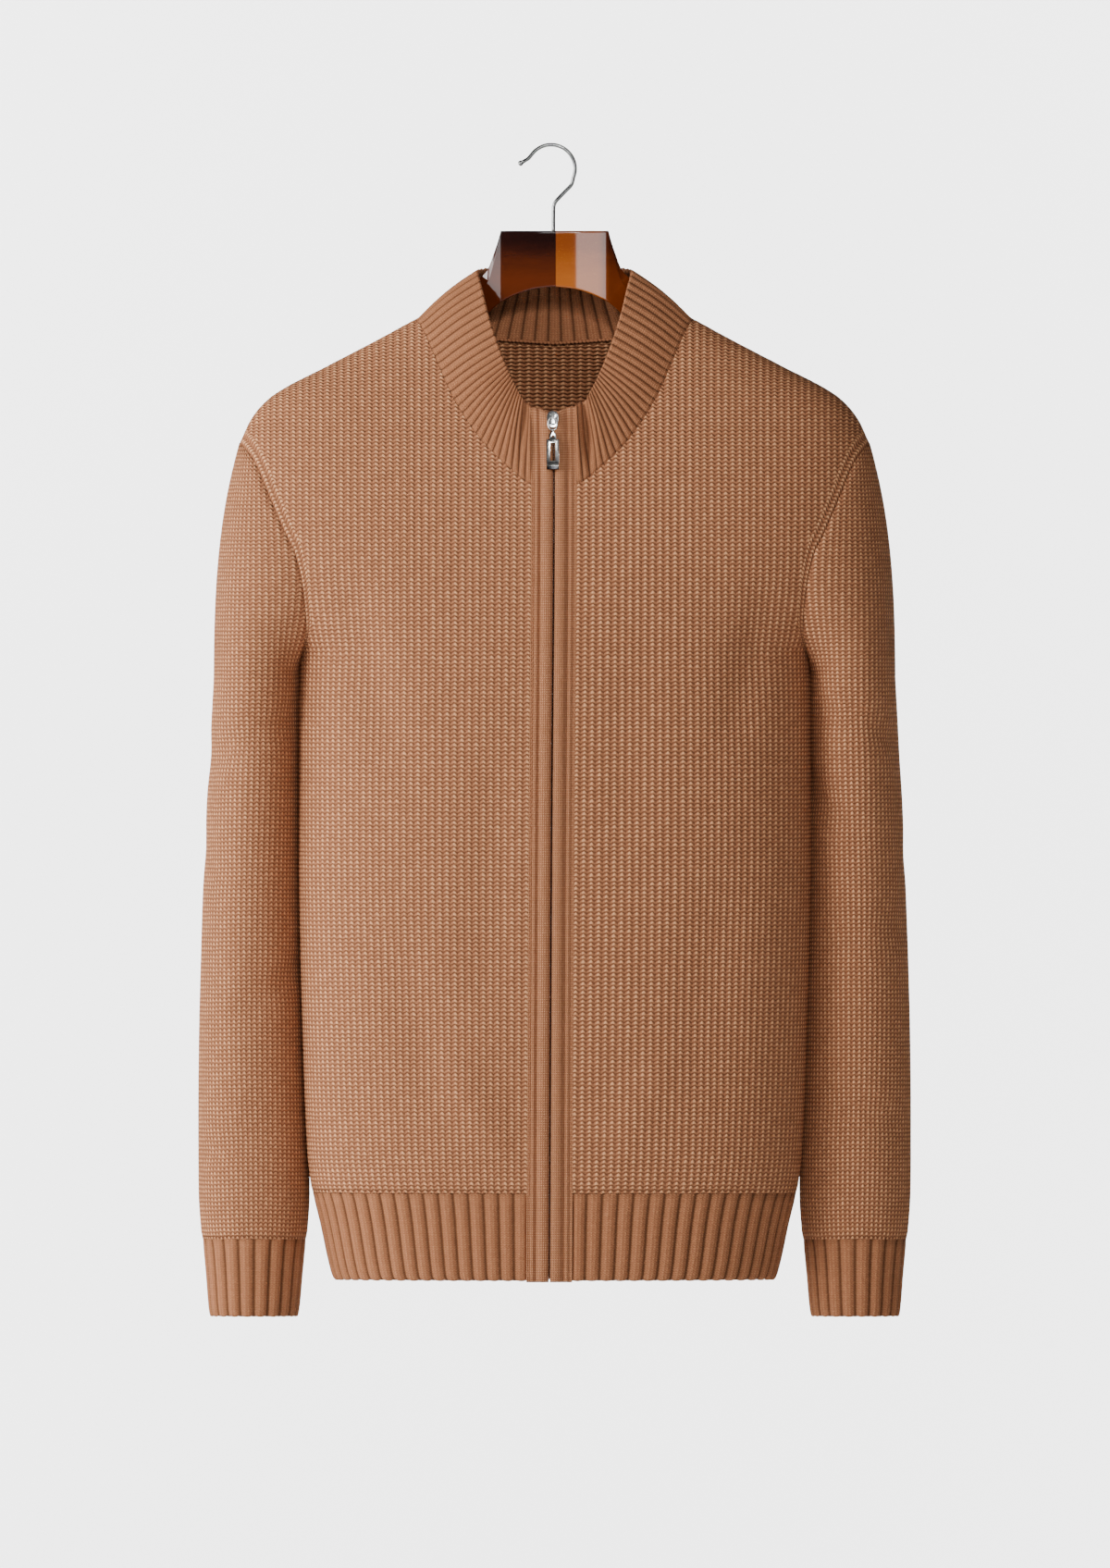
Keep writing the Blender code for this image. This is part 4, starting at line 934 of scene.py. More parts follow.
knit_band("knit_hem_back", hem_grid(1, 0), 0.0)
for side, word in SIDES:
    middle = side * ARM_MIDDLE
    knit_band(f"knit_hem_front_{word}", hem_grid(-1, side), 0.0)
    angles = np.linspace(0.0, 2 * pi, SECTION_STEPS)
    shares = rib_count(CUFF_RIBS, closing=False) / CUFF_RIBS
    rings = np.array([resample(sleeve_ring(CUFF, drop, side, angles), shares) for drop in band_drops(CUFF)])
    knit_band(f"knit_cuff_{word}", rings, middle, CUFF_RIBS)

# %% [markdown]
# ## The stand collar
# One ribbed band runs from the right front edge round the neck to the left. It is sewn to the neckline and stands
# up and inwards to a rim that is much shorter than its seam, so the ribs lean and crowd together. The seam and rim
# are both curves, each row lies between them, and soft folds run up it beside the zip.

# %% Knit the collar
RIM_FRONT = table(
    Rim,
    (0.0165, -0.062, 0.1862), (0.0215, -0.0612, 0.181), (0.0261, -0.058, 0.1736), (0.0393, -0.046, 0.1439),
    (0.0479, -0.032, 0.1175), (0.0518, -0.019, 0.101), (0.0551, -0.003, 0.0882),
)
RIM_BACK = (Rim(0.0500, 0.0160, 0.0860), Rim(0.0300, 0.0290, 0.0845))
RIM_MIDDLE = Rim(0.0, 0.0330, 0.0840)
COLLAR_ROWS = 26
COLLAR_BELLY = 0.0022
COLLAR_WALL = 0.0036
COLLAR_RIBS_FRONT = 27
COLLAR_RIBS_BACK = 12
CURVE_STEPS = 16
Crowd = namedtuple("Crowd", "seam rim")
# The ribs crowd together at the rim beside the zip: shares of the front seam and the shares of rim they run to
CROWDING = (Crowd(0.0, 0.0), Crowd(0.12, 0.09), Crowd(0.30, 0.19), Crowd(0.51, 0.32), Crowd(1.0, 1.0))
Fold = namedtuple("Fold", "side distance width depth height")
COLLAR_FOLDS = table(
    Fold,
    (1, 0.014, 0.005, 0.0092, 0.6), (1, 0.004, 0.003, -0.0016, 0.8), (-1, 0.0105, 0.004, 0.0042, 0.85),
    (1, 0.03, 0.006, -0.0012, 0.6), (-1, 0.024, 0.006, -0.001, 0.5),
)
FOLD_RUN = 0.4


def smooth_path(rows):
    """A dense smooth line through a table of points."""
    knots = np.array([(row.x, row.y, -row.drop) for row in rows])
    chords = travelled(knots)
    at = np.interp(np.arange((len(rows) - 1) * CURVE_STEPS + 1) / CURVE_STEPS, np.arange(len(rows)), chords)
    return np.stack([smooth(at, chords, knots[:, axis]) for axis in range(3)], axis=1)


def mirrored(rows):
    return [row._replace(x=-row.x) for row in rows]

# %% The collar's grid
def collar_grid():
    """Rows from the neck seam up to the rim, columns from the right front edge round the back to the left."""
    right = [*RIM_FRONT, *RIM_BACK]
    shifted = float(zip_x(PLACKET_TOP))
    rim_rows = [*right, RIM_MIDDLE, *mirrored(right[::-1])]
    rim_rows[0] = rim_rows[0]._replace(x=shifted + PLACKET_REACH - TUCK)
    rim_rows[-1] = rim_rows[-1]._replace(x=shifted - PLACKET_REACH + TUCK)
    rim = smooth_path(rim_rows)
    middle = back_grid.shape[1] // 2
    side_top = (len(RIM_FRONT) - 1) * CURVE_STEPS
    half = len(right) * CURVE_STEPS
    neck = NECK_COLUMNS
    runs = (
        (front_grids[1][-1, : neck + 1], rim[: side_top + 1], COLLAR_RIBS_FRONT),
        (back_grid[-1, middle : middle + neck + 1][::-1], rim[side_top : half + 1], COLLAR_RIBS_BACK),
        (back_grid[-1, middle - neck : middle + 1][::-1], rim[half : 2 * half - side_top + 1], COLLAR_RIBS_BACK),
        (front_grids[-1][-1, : neck + 1][::-1], rim[2 * half - side_top :], COLLAR_RIBS_FRONT),
    )
    seam_parts = []
    rim_parts = []
    for at, (seam_run, rim_run, ribs) in enumerate(runs):
        shares = rib_count(ribs, closing=at == len(runs) - 1) / ribs
        seam_parts.append(resample(seam_run, shares))
        if at == 0:
            shares = read(CROWDING, shares, "rim", by="seam")
        elif at == len(runs) - 1:
            shares = 1 - read(CROWDING, 1 - shares, "rim", by="seam")
        rim_parts.append(resample(rim_run, shares))
    seam = np.concatenate(seam_parts)
    top = np.concatenate(rim_parts)
    heights = 1 - (1 - np.linspace(0.0, 1.0, COLLAR_ROWS)) ** 1.3
    flat = np.array([seam + (top - seam) * share for share in heights])
    out = outward(flat, 0.0, loop=False)
    heights = heights[:, None, None]
    bulge = COLLAR_BELLY * np.sin(heights * pi) * out
    return flat + bulge - collar_folds(seam, heights) * out

# %% Fold and knit the collar
def collar_folds(seam, heights):
    """Soft troughs that run up the collar beside the zip."""
    along = travelled(seam)
    depth = np.zeros((len(heights), len(seam), 1))
    for fold in COLLAR_FOLDS:
        distance = along if fold.side > 0 else along[-1] - along
        across = np.exp(-(((distance - fold.distance) / fold.width) ** 2))
        depth += fold.depth * across[None, :, None] * np.exp(-(((heights - fold.height) / FOLD_RUN) ** 2))
    return depth


grid = collar_grid()
rise = np.ones(len(grid))
rise[0] = 0.0
rise[1] = 0.6
rise[-1] = 0.75
ribs = 2 * (COLLAR_RIBS_FRONT + COLLAR_RIBS_BACK)
shell("knit_collar", grid, rib_count(ribs), rise, COLLAR_WALL, COLLAR_RIB, 0.0, ends=(0.0, 0.8))

# %% [markdown]
# ## Plackets along the zip
# Each front edge is finished with a rolled strip that covers the zip tape, and a thinner roll where it is linked to
# the front. The strip's section is a short list of points across and out from the cloth, smoothed and swept down the
# zip. Its loops lie on their side, so its UV map is turned.

# %% Sweep the plackets
Profile = namedtuple("Profile", "across out")
PLACKET = table(
    Profile,
    (0.0007, -0.0018), (0.0005, -0.0004), (0.0007, 0.001), (0.0013, 0.0018), (0.0022, 0.0024), (0.0037, 0.0028),
    (0.0052, 0.0027), (0.0067, 0.0024), (0.0082, 0.0016), (0.0092, 0.0004), (0.0098, -0.0004), (0.0104, 0.0),
    (0.0112, 0.0008), (0.0122, 0.0011), (0.0132, 0.0008), (0.014, -0.0003), (0.015, 0.0), (0.0158, 0.0004),
    (0.0163, 0.0002), (0.0164, -0.001), (0.0162, -0.0018), (0.0085, -0.0018),
)
STRIP_ROWS = 230
ROLL_COURSE = 0.0016
ROLL_WALE = 0.0017
END_REACH = 0.0012
CORNER_REACH = 0.006
CORNER_LEVEL = 0.35


def front_face(drop):
    """How far the front's face lies out along the zip: body, hem band, or the collar's front edge."""
    drop = np.asarray(drop, float)
    rim = RIM_FRONT[0]
    neck_y = -read(TORSO, NECK_FRONT, "front")
    up = (NECK_FRONT - drop) / (NECK_FRONT - rim.drop)
    on_collar = neck_y + (rim.y - neck_y) * up
    on_hem = -read(HEM, np.minimum(drop, HEM[-2].drop), "front")
    on_body = np.where(drop > HEM_TOP, on_hem, -read(TORSO, drop, "front"))
    return np.where(drop < NECK_FRONT, on_collar, on_body)

# %% Sweep a roll along the zip
def sweep(name, profile, side, drops, look, round_ends=0.0, corner_drop=0.0):
    """A closed strip along the zip. Its UV map counts loops down the strip and courses across it.

    round_ends says how far its ends are pinched, and corner_drop how far the top slants down beside the zip.
    """
    shape = bmesh.new()
    uv_layer = shape.loops.layers.uv.new("knit")
    across = np.array([p.across for p in profile])
    out = np.array([p.out for p in profile])
    way = travelled(np.array(profile))
    middle_out = (out.max() + out.min()) / 2
    lines = []
    for drop in drops:
        near = min(drop - drops[0], drops[-1] - drop)
        pinch = 1 - round_ends * max(0.0, 1 - near / END_REACH) ** 2
        y = float(front_face(drop)) - (middle_out + (out - middle_out) * pinch)
        x = float(zip_x(drop)) + side * across
        sag = corner_drop * ((1 - across / across.max()) ** 2 - CORNER_LEVEL)
        corner = sag * np.exp(-(((drop - drops[0]) / CORNER_REACH) ** 2))
        lines.append([shape.verts.new(point) for point in zip(x, y, -drop - corner)])
    around = len(profile)

    def face(places):
        made = shape.faces.new([lines[row][column % around] for row, column in places])
        made.smooth = True
        for corner, (row, column) in zip(made.loops, places):
            turn = way[-1] + 0.001 if column == around else way[column]
            corner[uv_layer].uv = (drops[row] / ROLL_WALE, turn / ROLL_COURSE)

    for row, column in np.ndindex(len(drops) - 1, around):
        face([(row + down, column + over) for down, over in QUAD])
    for row in (0, len(drops) - 1):
        face([(row, column) for column in range(around)])
    made = put(name, mesh_of(name, shape, look))
    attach(made, "garment")
    return made


placket_drops = np.linspace(PLACKET_TOP, HEM_END, STRIP_ROWS)
for side, word in SIDES:
    name = f"placket_{word}"
    sweep(f"rolled_{name}", PLACKET, side, placket_drops, ROLL_KNIT, round_ends=0.6, corner_drop=0.0055)

# %% [markdown]
# ## Zip tapes and teeth
# A thin woven tape lies behind each placket and holds the teeth. Little of it shows, only a dark rust line in the
# slit. The teeth repeat hundreds of times, so a Geometry Nodes tree sets small blocks along a line.

# %% Weave the tapes
made, shader, start = new_material("rust zip tape", roughness=0.8, sheen_weight=0.2)
spot = start.object_place()
THREAD = 0.0005
weft = start.math("SINE", spot.axis("Z") * (2 * pi / THREAD))
warp = start.math("SINE", spot.axis("X") * (2 * pi / THREAD))
weave = 0.5 + 0.25 * weft + 0.25 * warp
colour = weave.mix((0.060, 0.026, 0.014, 1.0), (0.150, 0.068, 0.036, 1.0))
finish(start, shader, colour, weave, 0.0002)
TAPE_LOOK = made

TAPE = table(
    Profile,
    (0.0011, -0.0029), (0.0011, -0.0021), (0.0068, -0.0021), (0.0125, -0.0021), (0.0125, -0.0029),
)
TAPE_TOP = 0.1900
TAPE_END = 0.8095
tape_drops = np.linspace(TAPE_TOP, TAPE_END, STRIP_ROWS)
for side, word in SIDES:
    sweep(f"woven_zip_tape_{word}", TAPE, side, tape_drops, TAPE_LOOK)

# %% [markdown]
# ## Metals
# The zip's slider is bright chrome, its pull is a little darker with a black foot, and the hook is dull polished
# steel. Even polished metal is never one flat grey: fine scratches and a slow cloudiness move its roughness and bump.

# %% Polished metals
SCRATCHES = (5200.0, 5200.0, 500.0)
NEAR_BLACK = (0.012, 0.012, 0.013, 1.0)
FOOT_EDGE = 0.0001


def metal(name, dark, pale, low, high, scratch, foot=None):
    """Polished metal with a slow cloudiness and fine scratches. Below the drop of a foot it is near black."""
    made, shader, start = new_material(name, metallic=1.0)
    spot = start.object_place()
    cloud = start.noise(spot, 220.0, 3.0)
    fine = start.noise(spot.vector_math("MULTIPLY", SCRATCHES), 1.0, 2.0)
    colour = (0.65 * cloud + 0.35 * fine).mix(dark, pale)
    if foot:
        colour = (spot.axis("Z") * -1).between(foot - FOOT_EDGE, foot + FOOT_EDGE).mix(colour, NEAR_BLACK)
    roughness = low + (high - low) * (0.6 * cloud + 0.4 * fine)
    finish(start, shader, colour, fine, scratch, roughness)
    return made


CHROME = metal("bright chrome", (0.42, 0.41, 0.40, 1.0), (0.72, 0.72, 0.72, 1.0), 0.10, 0.26, 0.00002)
DARK_CHROME = metal("smoky chrome", (0.25, 0.24, 0.23, 1.0), (0.62, 0.61, 0.60, 1.0), 0.12, 0.28, 0.00002)
PULL_FOOT = 0.2290
PULL_TONES = ((0.28, 0.27, 0.26, 1.0), (0.60, 0.59, 0.57, 1.0))
PULL_CHROME = metal("chrome with a black foot", *PULL_TONES, 0.08, 0.22, 0.00002, PULL_FOOT)
STEEL = metal("polished steel wire", (0.18, 0.18, 0.18, 1.0), (0.36, 0.36, 0.36, 1.0), 0.12, 0.26, 0.00003)

# %% [markdown]
# ## Small shapes in a row
# A zip's teeth and a seam's loops are one small shape set again and again along a line. Copies could be placed in
# Python, but a Geometry Nodes tree with named inputs is shorter and can be used for both: it turns the line into a
# curve, spaces points along it, sets every other one a little to the side and puts the shape on each.

# %% Set blocks or loops along a line
LINE_INPUTS = {
    "Pitch": "NodeSocketFloat",
    "Size": "NodeSocketVector",
    "Turn": "NodeSocketVector",
    "Stagger": "NodeSocketVector",
    "Look": "NodeSocketMaterial",
}


def line_tree(name, kind, settings):
    """A tree that sets one small shape at every pitch along a line, every other one staggered."""
    tree, start, given = tree_with(name, LINE_INPUTS)
    path = start.add("GeometryNodeMeshToCurve", None, {"Mesh": given["Mesh"]})
    evenly = start.add("GeometryNodeResampleCurve", {"mode": "LENGTH"}, {"Curve": path, "Length": given["Pitch"]})
    shape = start.add(kind, None, settings)
    index = start.add("GeometryNodeInputIndex")
    odd = start.add("ShaderNodeMath", {"operation": "MODULO"}, {0: index, 1: 2.0}) * 2 - 1
    aside = given["Stagger"].vector_math("SCALE", odd)
    placed = start.add("GeometryNodeSetPosition", None, {"Geometry": evenly, "Offset": aside})
    inputs = {"Points": placed, "Instance": shape, "Rotation": given["Turn"], "Scale": given["Size"]}
    copies = start.add("GeometryNodeInstanceOnPoints", None, inputs)
    smooth_shape = start.add("GeometryNodeSetShadeSmooth", None, {"Geometry": copies})
    close_tree(tree, start, smooth_shape, given["Look"])
    return tree


teeth_tree = line_tree("teeth along a zip", "GeometryNodeMeshCube", {"Size": (1.0, 1.0, 1.0)})
loops_tree = line_tree("loops along a seam", "GeometryNodeMeshUVSphere", {"Segments": 7, "Rings": 5, "Radius": 0.5})
STILL = (0.0, 0.0, 0.0)


def along(name, points, tree, pitch, size, look, turn=STILL, stagger=STILL):
    """A run of small shapes along these points."""
    mesh = bpy.data.meshes.new(name)
    mesh.from_pydata([tuple(p) for p in points], [(at, at + 1) for at in range(len(points) - 1)], [])
    values = {"Pitch": pitch, "Size": size, "Turn": turn, "Stagger": stagger, "Look": look}
    return repeat_on(name, mesh, tree, values)


# %% Hang the teeth on the tapes
TOOTH_PITCH = 0.0011
TOOTH_SIZE = (0.0022, 0.0011, 0.00075)
TOOTH_OUT = -0.0024
TOOTH_SHIFT = (0.0006, 0.0, 0.0)
TEETH_TOP = 0.2045
drops = np.linspace(TEETH_TOP, TAPE_END - 0.001, 120)
points = points_at(zip_x(drops), front_face(drops) - TOOTH_OUT, drops)
teeth = along("zip_teeth", points, teeth_tree, TOOTH_PITCH, TOOTH_SIZE, DARK_CHROME, stagger=TOOTH_SHIFT)

# %% [markdown]
# ## Linking stitches
# The plackets and the collar are linked to the body loop by loop. The seam shows as a fine column of slanted loops
# with small hollows. They sit in the dip beside the thin roll and along the inside of the neck seam. Each loop is a
# stretched ball, turned a little, which is enough at this size.

# %% Link the seams
LINK_LOOK = wool("camel linking yarn", 0.6, RIB_PAINTED_SHADE, CAMEL, CAMEL_PAINTED_HIGHLIGHT, 0.0002)
FRONT_LOOP = {"pitch": 0.0031, "size": (0.0011, 0.0009, 0.0024)}
FRONT_SEAM = 0.0148
drops = np.linspace(NECK_FRONT - 0.002, HEM_TOP, 200)
for side, word in SIDES:
    points = points_at(zip_x(drops) + side * FRONT_SEAM, front_face(drops) - 0.0001, drops)
    turn = (0.0, side * -0.5, 0.0)
    run = along(f"linking_loops_{word}", points, loops_tree, look=LINK_LOOK, turn=turn, **FRONT_LOOP)
NECK_LOOP = {"pitch": 0.0028, "size": (0.0034, 0.0016, 0.0022)}
INSIDE_NECK = np.array([0.0, -0.0038, 0.0004])
middle = back_grid.shape[1] // 2
reach = (NECK_WALES - 2) * COLUMNS_A_WALE
points = back_grid[-1, middle - reach : middle + reach + 1] + INSIDE_NECK
run = along("linking_loops_neck", points, loops_tree, look=LINK_LOOK, turn=(0.0, 0.35, 0.0), **NECK_LOOP)

# %% [markdown]
# ## The slider, its link and the pull
# These three pieces are small but catch the eye. The slider has a shield-shaped plate with a crown, a wire link hangs
# from the crown, and the pull is an open frame with a solid foot. The plates are cut from outlines, joined and given
# rounded edges by a Bevel modifier, and all lean with the cloth behind them.

# %% Shapes for small metal parts
SLIDER_TOP = 0.1903
SLIDER_END = 0.2025
SLIDER_TILT = -13.0


def tilt_metal(shape):
    """Leans a piece of the zip with the cloth behind it, about the middle of the slider."""
    middle_drop = (SLIDER_TOP + SLIDER_END) / 2
    pivot = Matrix.Translation((0.0, float(front_face(middle_drop)), -middle_drop))
    lean = Matrix.Rotation(radians(SLIDER_TILT), 4, "X")
    bmesh.ops.transform(shape, matrix=pivot @ lean @ pivot.inverted(), verts=shape.verts)


def join_loops(shape, loops, closed=False):
    """Skins loops of vertices into a tube. A closed one runs back to its first loop."""
    for low, high in zip(loops, loops[1:] + loops[: int(closed)]):
        for at in range(len(low)):
            after = (at + 1) % len(low)
            shape.faces.new((low[at], low[after], high[after], high[at]))


def plate(outline, thickness, centre_y):
    """A flat plate parallel to the cloth, from its outline as (x, z) corners."""
    shape = bmesh.new()
    loops = [[shape.verts.new((x, centre_y + out, z)) for x, z in outline] for out in (-thickness / 2, thickness / 2)]
    for loop in loops:
        shape.faces.new(loop)
    join_loops(shape, loops)
    return shape


def oval(centre, half_x, half_z, steps, taper=0.0, power=2.0):
    """An oval outline, narrower below by taper and squarer with a higher power."""
    corners = []
    for step in range(steps):
        x, z = (signed_power(wave(2 * pi * step / steps), 2 / power) for wave in (cos, sin))
        corners.append((centre[0] + half_x * x * (1 - taper * (1 - z) / 2), centre[1] + half_z * z))
    return corners

# %% Rings, and solids from shapes
def ring_shape(radius_across, radius_up, wire, steps, centre, upright, corners=12):
    """A ring of round wire. It lies parallel to the cloth, or edge on when upright."""
    shape = bmesh.new()
    loops = []
    for step in range(steps):
        turn = 2 * pi * step / steps
        loop = []
        for corner in range(corners):
            angle = 2 * pi * corner / corners
            far = 1 + wire * cos(angle) / radius_across
            high = 1 + wire * cos(angle) / radius_up
            out = (radius_across * far * cos(turn), radius_up * high * sin(turn), wire * sin(angle))
            point = (out[2], out[0], out[1]) if upright else (out[0], out[2], out[1])
            loop.append(shape.verts.new([a + b for a, b in zip(centre, point)]))
        loops.append(loop)
    join_loops(shape, loops, closed=True)
    return shape


def solid_from(name, shapes, look, cut=(), bevel=0.0, body="garment"):
    """One solid from overlapping shapes less the cutters, with rounded edges, as a plain mesh."""
    objects = []
    for at, shape in enumerate((*shapes, *cut)):
        tilt_metal(shape)
        objects.append(put(f"{name}_{at}", mesh_of(f"{name}_{at}", shape)))
    made = objects[0]
    for at, helper in enumerate(objects[1:], 1):
        modifier = made.modifiers.new(helper.name, "BOOLEAN")
        modifier.operation = "UNION" if at < len(shapes) else "DIFFERENCE"
        modifier.solver = "EXACT"
        modifier.object = helper
    if bevel:
        modifier = made.modifiers.new("rounded edges", "BEVEL")
        modifier.width = bevel
        modifier.segments = 3
        modifier.limit_method = "ANGLE"
        modifier.angle_limit = radians(35)
        modifier.use_clamp_overlap = True
    mesh = evaluated(made)
    for helper in objects:
        bpy.data.objects.remove(helper, do_unlink=True)
    mesh.name = name
    mesh.materials.clear()
    mesh.materials.append(look)
    mesh.shade_smooth()
    mesh.set_sharp_from_angle(angle=radians(40))
    made = put(name, mesh)
    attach(made, body)
    return made


def box_shape(size, centre):
    shape = bmesh.new()
    bmesh.ops.create_cube(shape, size=1.0)
    bmesh.ops.scale(shape, vec=size, verts=shape.verts)
    bmesh.ops.translate(shape, vec=centre, verts=shape.verts)
    return shape

# %% [markdown]
# ## Putting the metal together
# The slider is cast in one piece: a shield in front, a plate behind, a web between them and a crown on two feet. The
# pull has an eye, a tongue with a hole, and a frame whose foot is thicker. Each is a list of simple shapes that
# overlap. Boolean modifiers make one solid of them and cut the holes, so no face is left inside.

# %% Make the slider
SLIDER_WIDTH = 0.0092
SHIELD_THICK = 0.0014
BACK_THICK = 0.0012
WEB_WIDTH = 0.0007
WEB_DEPTH = 0.0082
SLIDER_BEVEL = 0.00025
SEAT = 0.0002
SLIDER_FACE = (0.0030, 0.0044)
SLIDER_BACK = (-0.0044, -0.0032)
CROWN_FEET = (0.1915, 0.1934, 0.1986, 0.2005)
CROWN_WIDTH = 0.0028
CROWN_OUT = 0.0080
CROWN_THICK = 0.0012
LINK_TOP = 0.1952
LINK_END = 0.2048
LINK_OUT = 0.0057
zip_middle = float(zip_x(LINK_TOP))
zip_face = float(front_face((SLIDER_TOP + SLIDER_END) / 2))
level = -(SLIDER_TOP + SLIDER_END) / 2
height = SLIDER_END - SLIDER_TOP
shield = oval((zip_middle, level), SLIDER_WIDTH / 2, height / 2, 48, taper=0.2, power=2.2)
back_plate = oval((zip_middle, level), SLIDER_WIDTH * 0.4, height * 0.4, 32, power=3.0)
shapes = [
    plate(shield, SHIELD_THICK, zip_face - sum(SLIDER_FACE) / 2),
    box_shape((WEB_WIDTH, WEB_DEPTH, height * 0.55), (zip_middle, zip_face, level)),
    plate(back_plate, BACK_THICK, zip_face - sum(SLIDER_BACK) / 2),
]
foot_top, hole_top, hole_end, foot_end = CROWN_FEET
root = SLIDER_FACE[1] - 0.0005
for top, end in ((foot_top, hole_top), (hole_end, foot_end)):
    size = (CROWN_WIDTH, CROWN_OUT - root - SEAT, end - top)
    shapes.append(box_shape(size, (zip_middle, zip_face - (CROWN_OUT - SEAT + root) / 2, -(top + end) / 2)))
centre = (zip_middle, -(foot_top + foot_end) / 2)
bar = oval(centre, CROWN_WIDTH / 2 + 0.0001, (foot_end - foot_top) / 2, 32, power=3.0)
shapes.append(plate(bar, CROWN_THICK, zip_face - CROWN_OUT + CROWN_THICK / 2))
slider = solid_from("zip_slider_chrome", shapes, CHROME, bevel=SLIDER_BEVEL)
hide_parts("zip_slider")

# %% Make the link and the pull
LINK_RADIUS = 0.0034
LINK_WIRE = 0.00045
link_centre = (zip_middle, zip_face - LINK_OUT, -(LINK_TOP + LINK_END) / 2)
ring = ring_shape(LINK_RADIUS, (LINK_END - LINK_TOP) / 2, LINK_WIRE, 40, link_centre, False)
ring_piece = solid_from("zip_link_wire", [ring], CHROME, body="link")
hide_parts("zip_link")

# The pull from its top down: the eye, the tongue with its hole, the frame with its slot and the solid foot
EYE_RADIUS = 0.0013
EYE_WIRE = 0.0004
PULL_WIDTH = 0.0088
PULL_TOP = 0.2118
PULL_END = 0.2337
PULL_THICK = 0.0020
PULL_SLOT = (0.0036, 0.2142, 0.2275)
BLOCK_TOP = 0.2284
BLOCK_THICK = 0.0026
TONGUE = (0.0052, 0.2058, 0.2120)
TONGUE_THICK = 0.0010
TONGUE_SLANT = 0.0022
OVERLAP = 0.0004
PULL_BEVEL = 0.00022
HOLE_DROP = 0.2096
HOLE_RADIUS = 0.0010
CUT_THROUGH = 0.008
pull_y = zip_face - LINK_OUT
width, top, end = TONGUE
right_half = ((0.18 * width, top), (width / 2, top + TONGUE_SLANT), (width / 2, end))
tongue = [(zip_middle + x, -drop) for x, drop in right_half]
tongue = [*tongue, *[(zip_middle - x, -drop) for x, drop in right_half[::-1]]]


def pull_box(width, thickness, top, end):
    return box_shape((width, thickness, end - top), (zip_middle, pull_y, -(top + end) / 2))


slot_width, slot_top, slot_end = PULL_SLOT
shapes = [
    ring_shape(EYE_RADIUS, EYE_RADIUS, EYE_WIRE, 24, (zip_middle, pull_y, -LINK_END), True),
    plate(tongue, TONGUE_THICK, pull_y),
    pull_box(PULL_WIDTH, PULL_THICK, PULL_TOP, BLOCK_TOP + OVERLAP),
    pull_box(PULL_WIDTH - OVERLAP, BLOCK_THICK, BLOCK_TOP, PULL_END),
]
hole = plate(oval((zip_middle, -HOLE_DROP), HOLE_RADIUS, HOLE_RADIUS, 16), CUT_THROUGH, pull_y)
cut = (pull_box(slot_width, CUT_THROUGH, slot_top, slot_end), hole)
pull = solid_from("zip_pull_frame", shapes, PULL_CHROME, cut=cut, bevel=PULL_BEVEL, body="pull")
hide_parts("zip_pull")

# %% [markdown]
# ## The wooden hanger
# A broad contoured hanger in two glued halves, stained red-brown and lacquered to a mirror. The wood is lofted from
# a table of sections with rounded edges. Its grain is stretched noise along the arm, the two halves take the stain
# differently, the tone grows lighter towards the bottom, and past the neck block the right half carries painted
# shade, as its flank turns from the light. A clear coat on top gives the sharp reflections.

# %% Stain and lacquer
HANGER_JOINT = 0.0009
LACQUER = {"roughness": 0.60, "specular_ior_level": 0.02, "coat_weight": 1.0, "coat_roughness": 0.07, "coat_ior": 1.6}
made, shader, start = new_material("lacquered wood", **LACQUER)
spot = start.object_place()
GRAIN = (18.0, 120.0, 110.0)
FIBRES = (90.0, 1400.0, 1400.0)
grain = start.noise(spot.vector_math("MULTIPLY", GRAIN), 1.0, 5.0, 0.6)
streak = start.noise(spot.vector_math("MULTIPLY", FIBRES), 1.0, 2.0, 0.7)
fleck = start.noise(spot, 900.0, 3.0, 0.7).between(0.58, 0.78)
half = (spot.axis("X") - HANGER_JOINT).between(-0.0002, 0.0002)
low = (spot.axis("Z") * -1).between(0.060, 0.105)
flank = spot.axis("X").between(0.030, 0.040)
tone = (0.30 * grain + 0.15 * streak + 0.55 * low).between(0.20, 0.80)
dark_half = tone.mix((0.011, 0.0015, 0.001, 1.0), (0.100, 0.017, 0.003, 1.0))
warm_half = tone.mix((0.210, 0.044, 0.005, 1.0), (0.400, 0.105, 0.013, 1.0))
golden = (0.5 * fleck).mix(warm_half, (0.60, 0.22, 0.038, 1.0))
# The right half past the neck block is darkened with painted shade, where its flank turns from the light.
flank_painted_shade = tone.mix((0.035, 0.004, 0.001, 1.0), (0.140, 0.024, 0.002, 1.0))
colour = half.mix(dark_half, flank.mix(golden, flank_painted_shade))
waviness = start.noise(spot, 15.0, 1.0)
finish(start, shader, colour, 0.02 * streak + waviness, 0.0016)
WOOD = made

# %% [markdown]
# ## The wood's form
# A broad hanger is sawn from thick board and sanded round: a square neck block, then arms that slope down and widen
# towards the shoulders. A table says how high and deep the wood is at each distance from the middle, and the
# sections between are joined into one skin. That keeps the neck block's faces flat, which the reflections need.

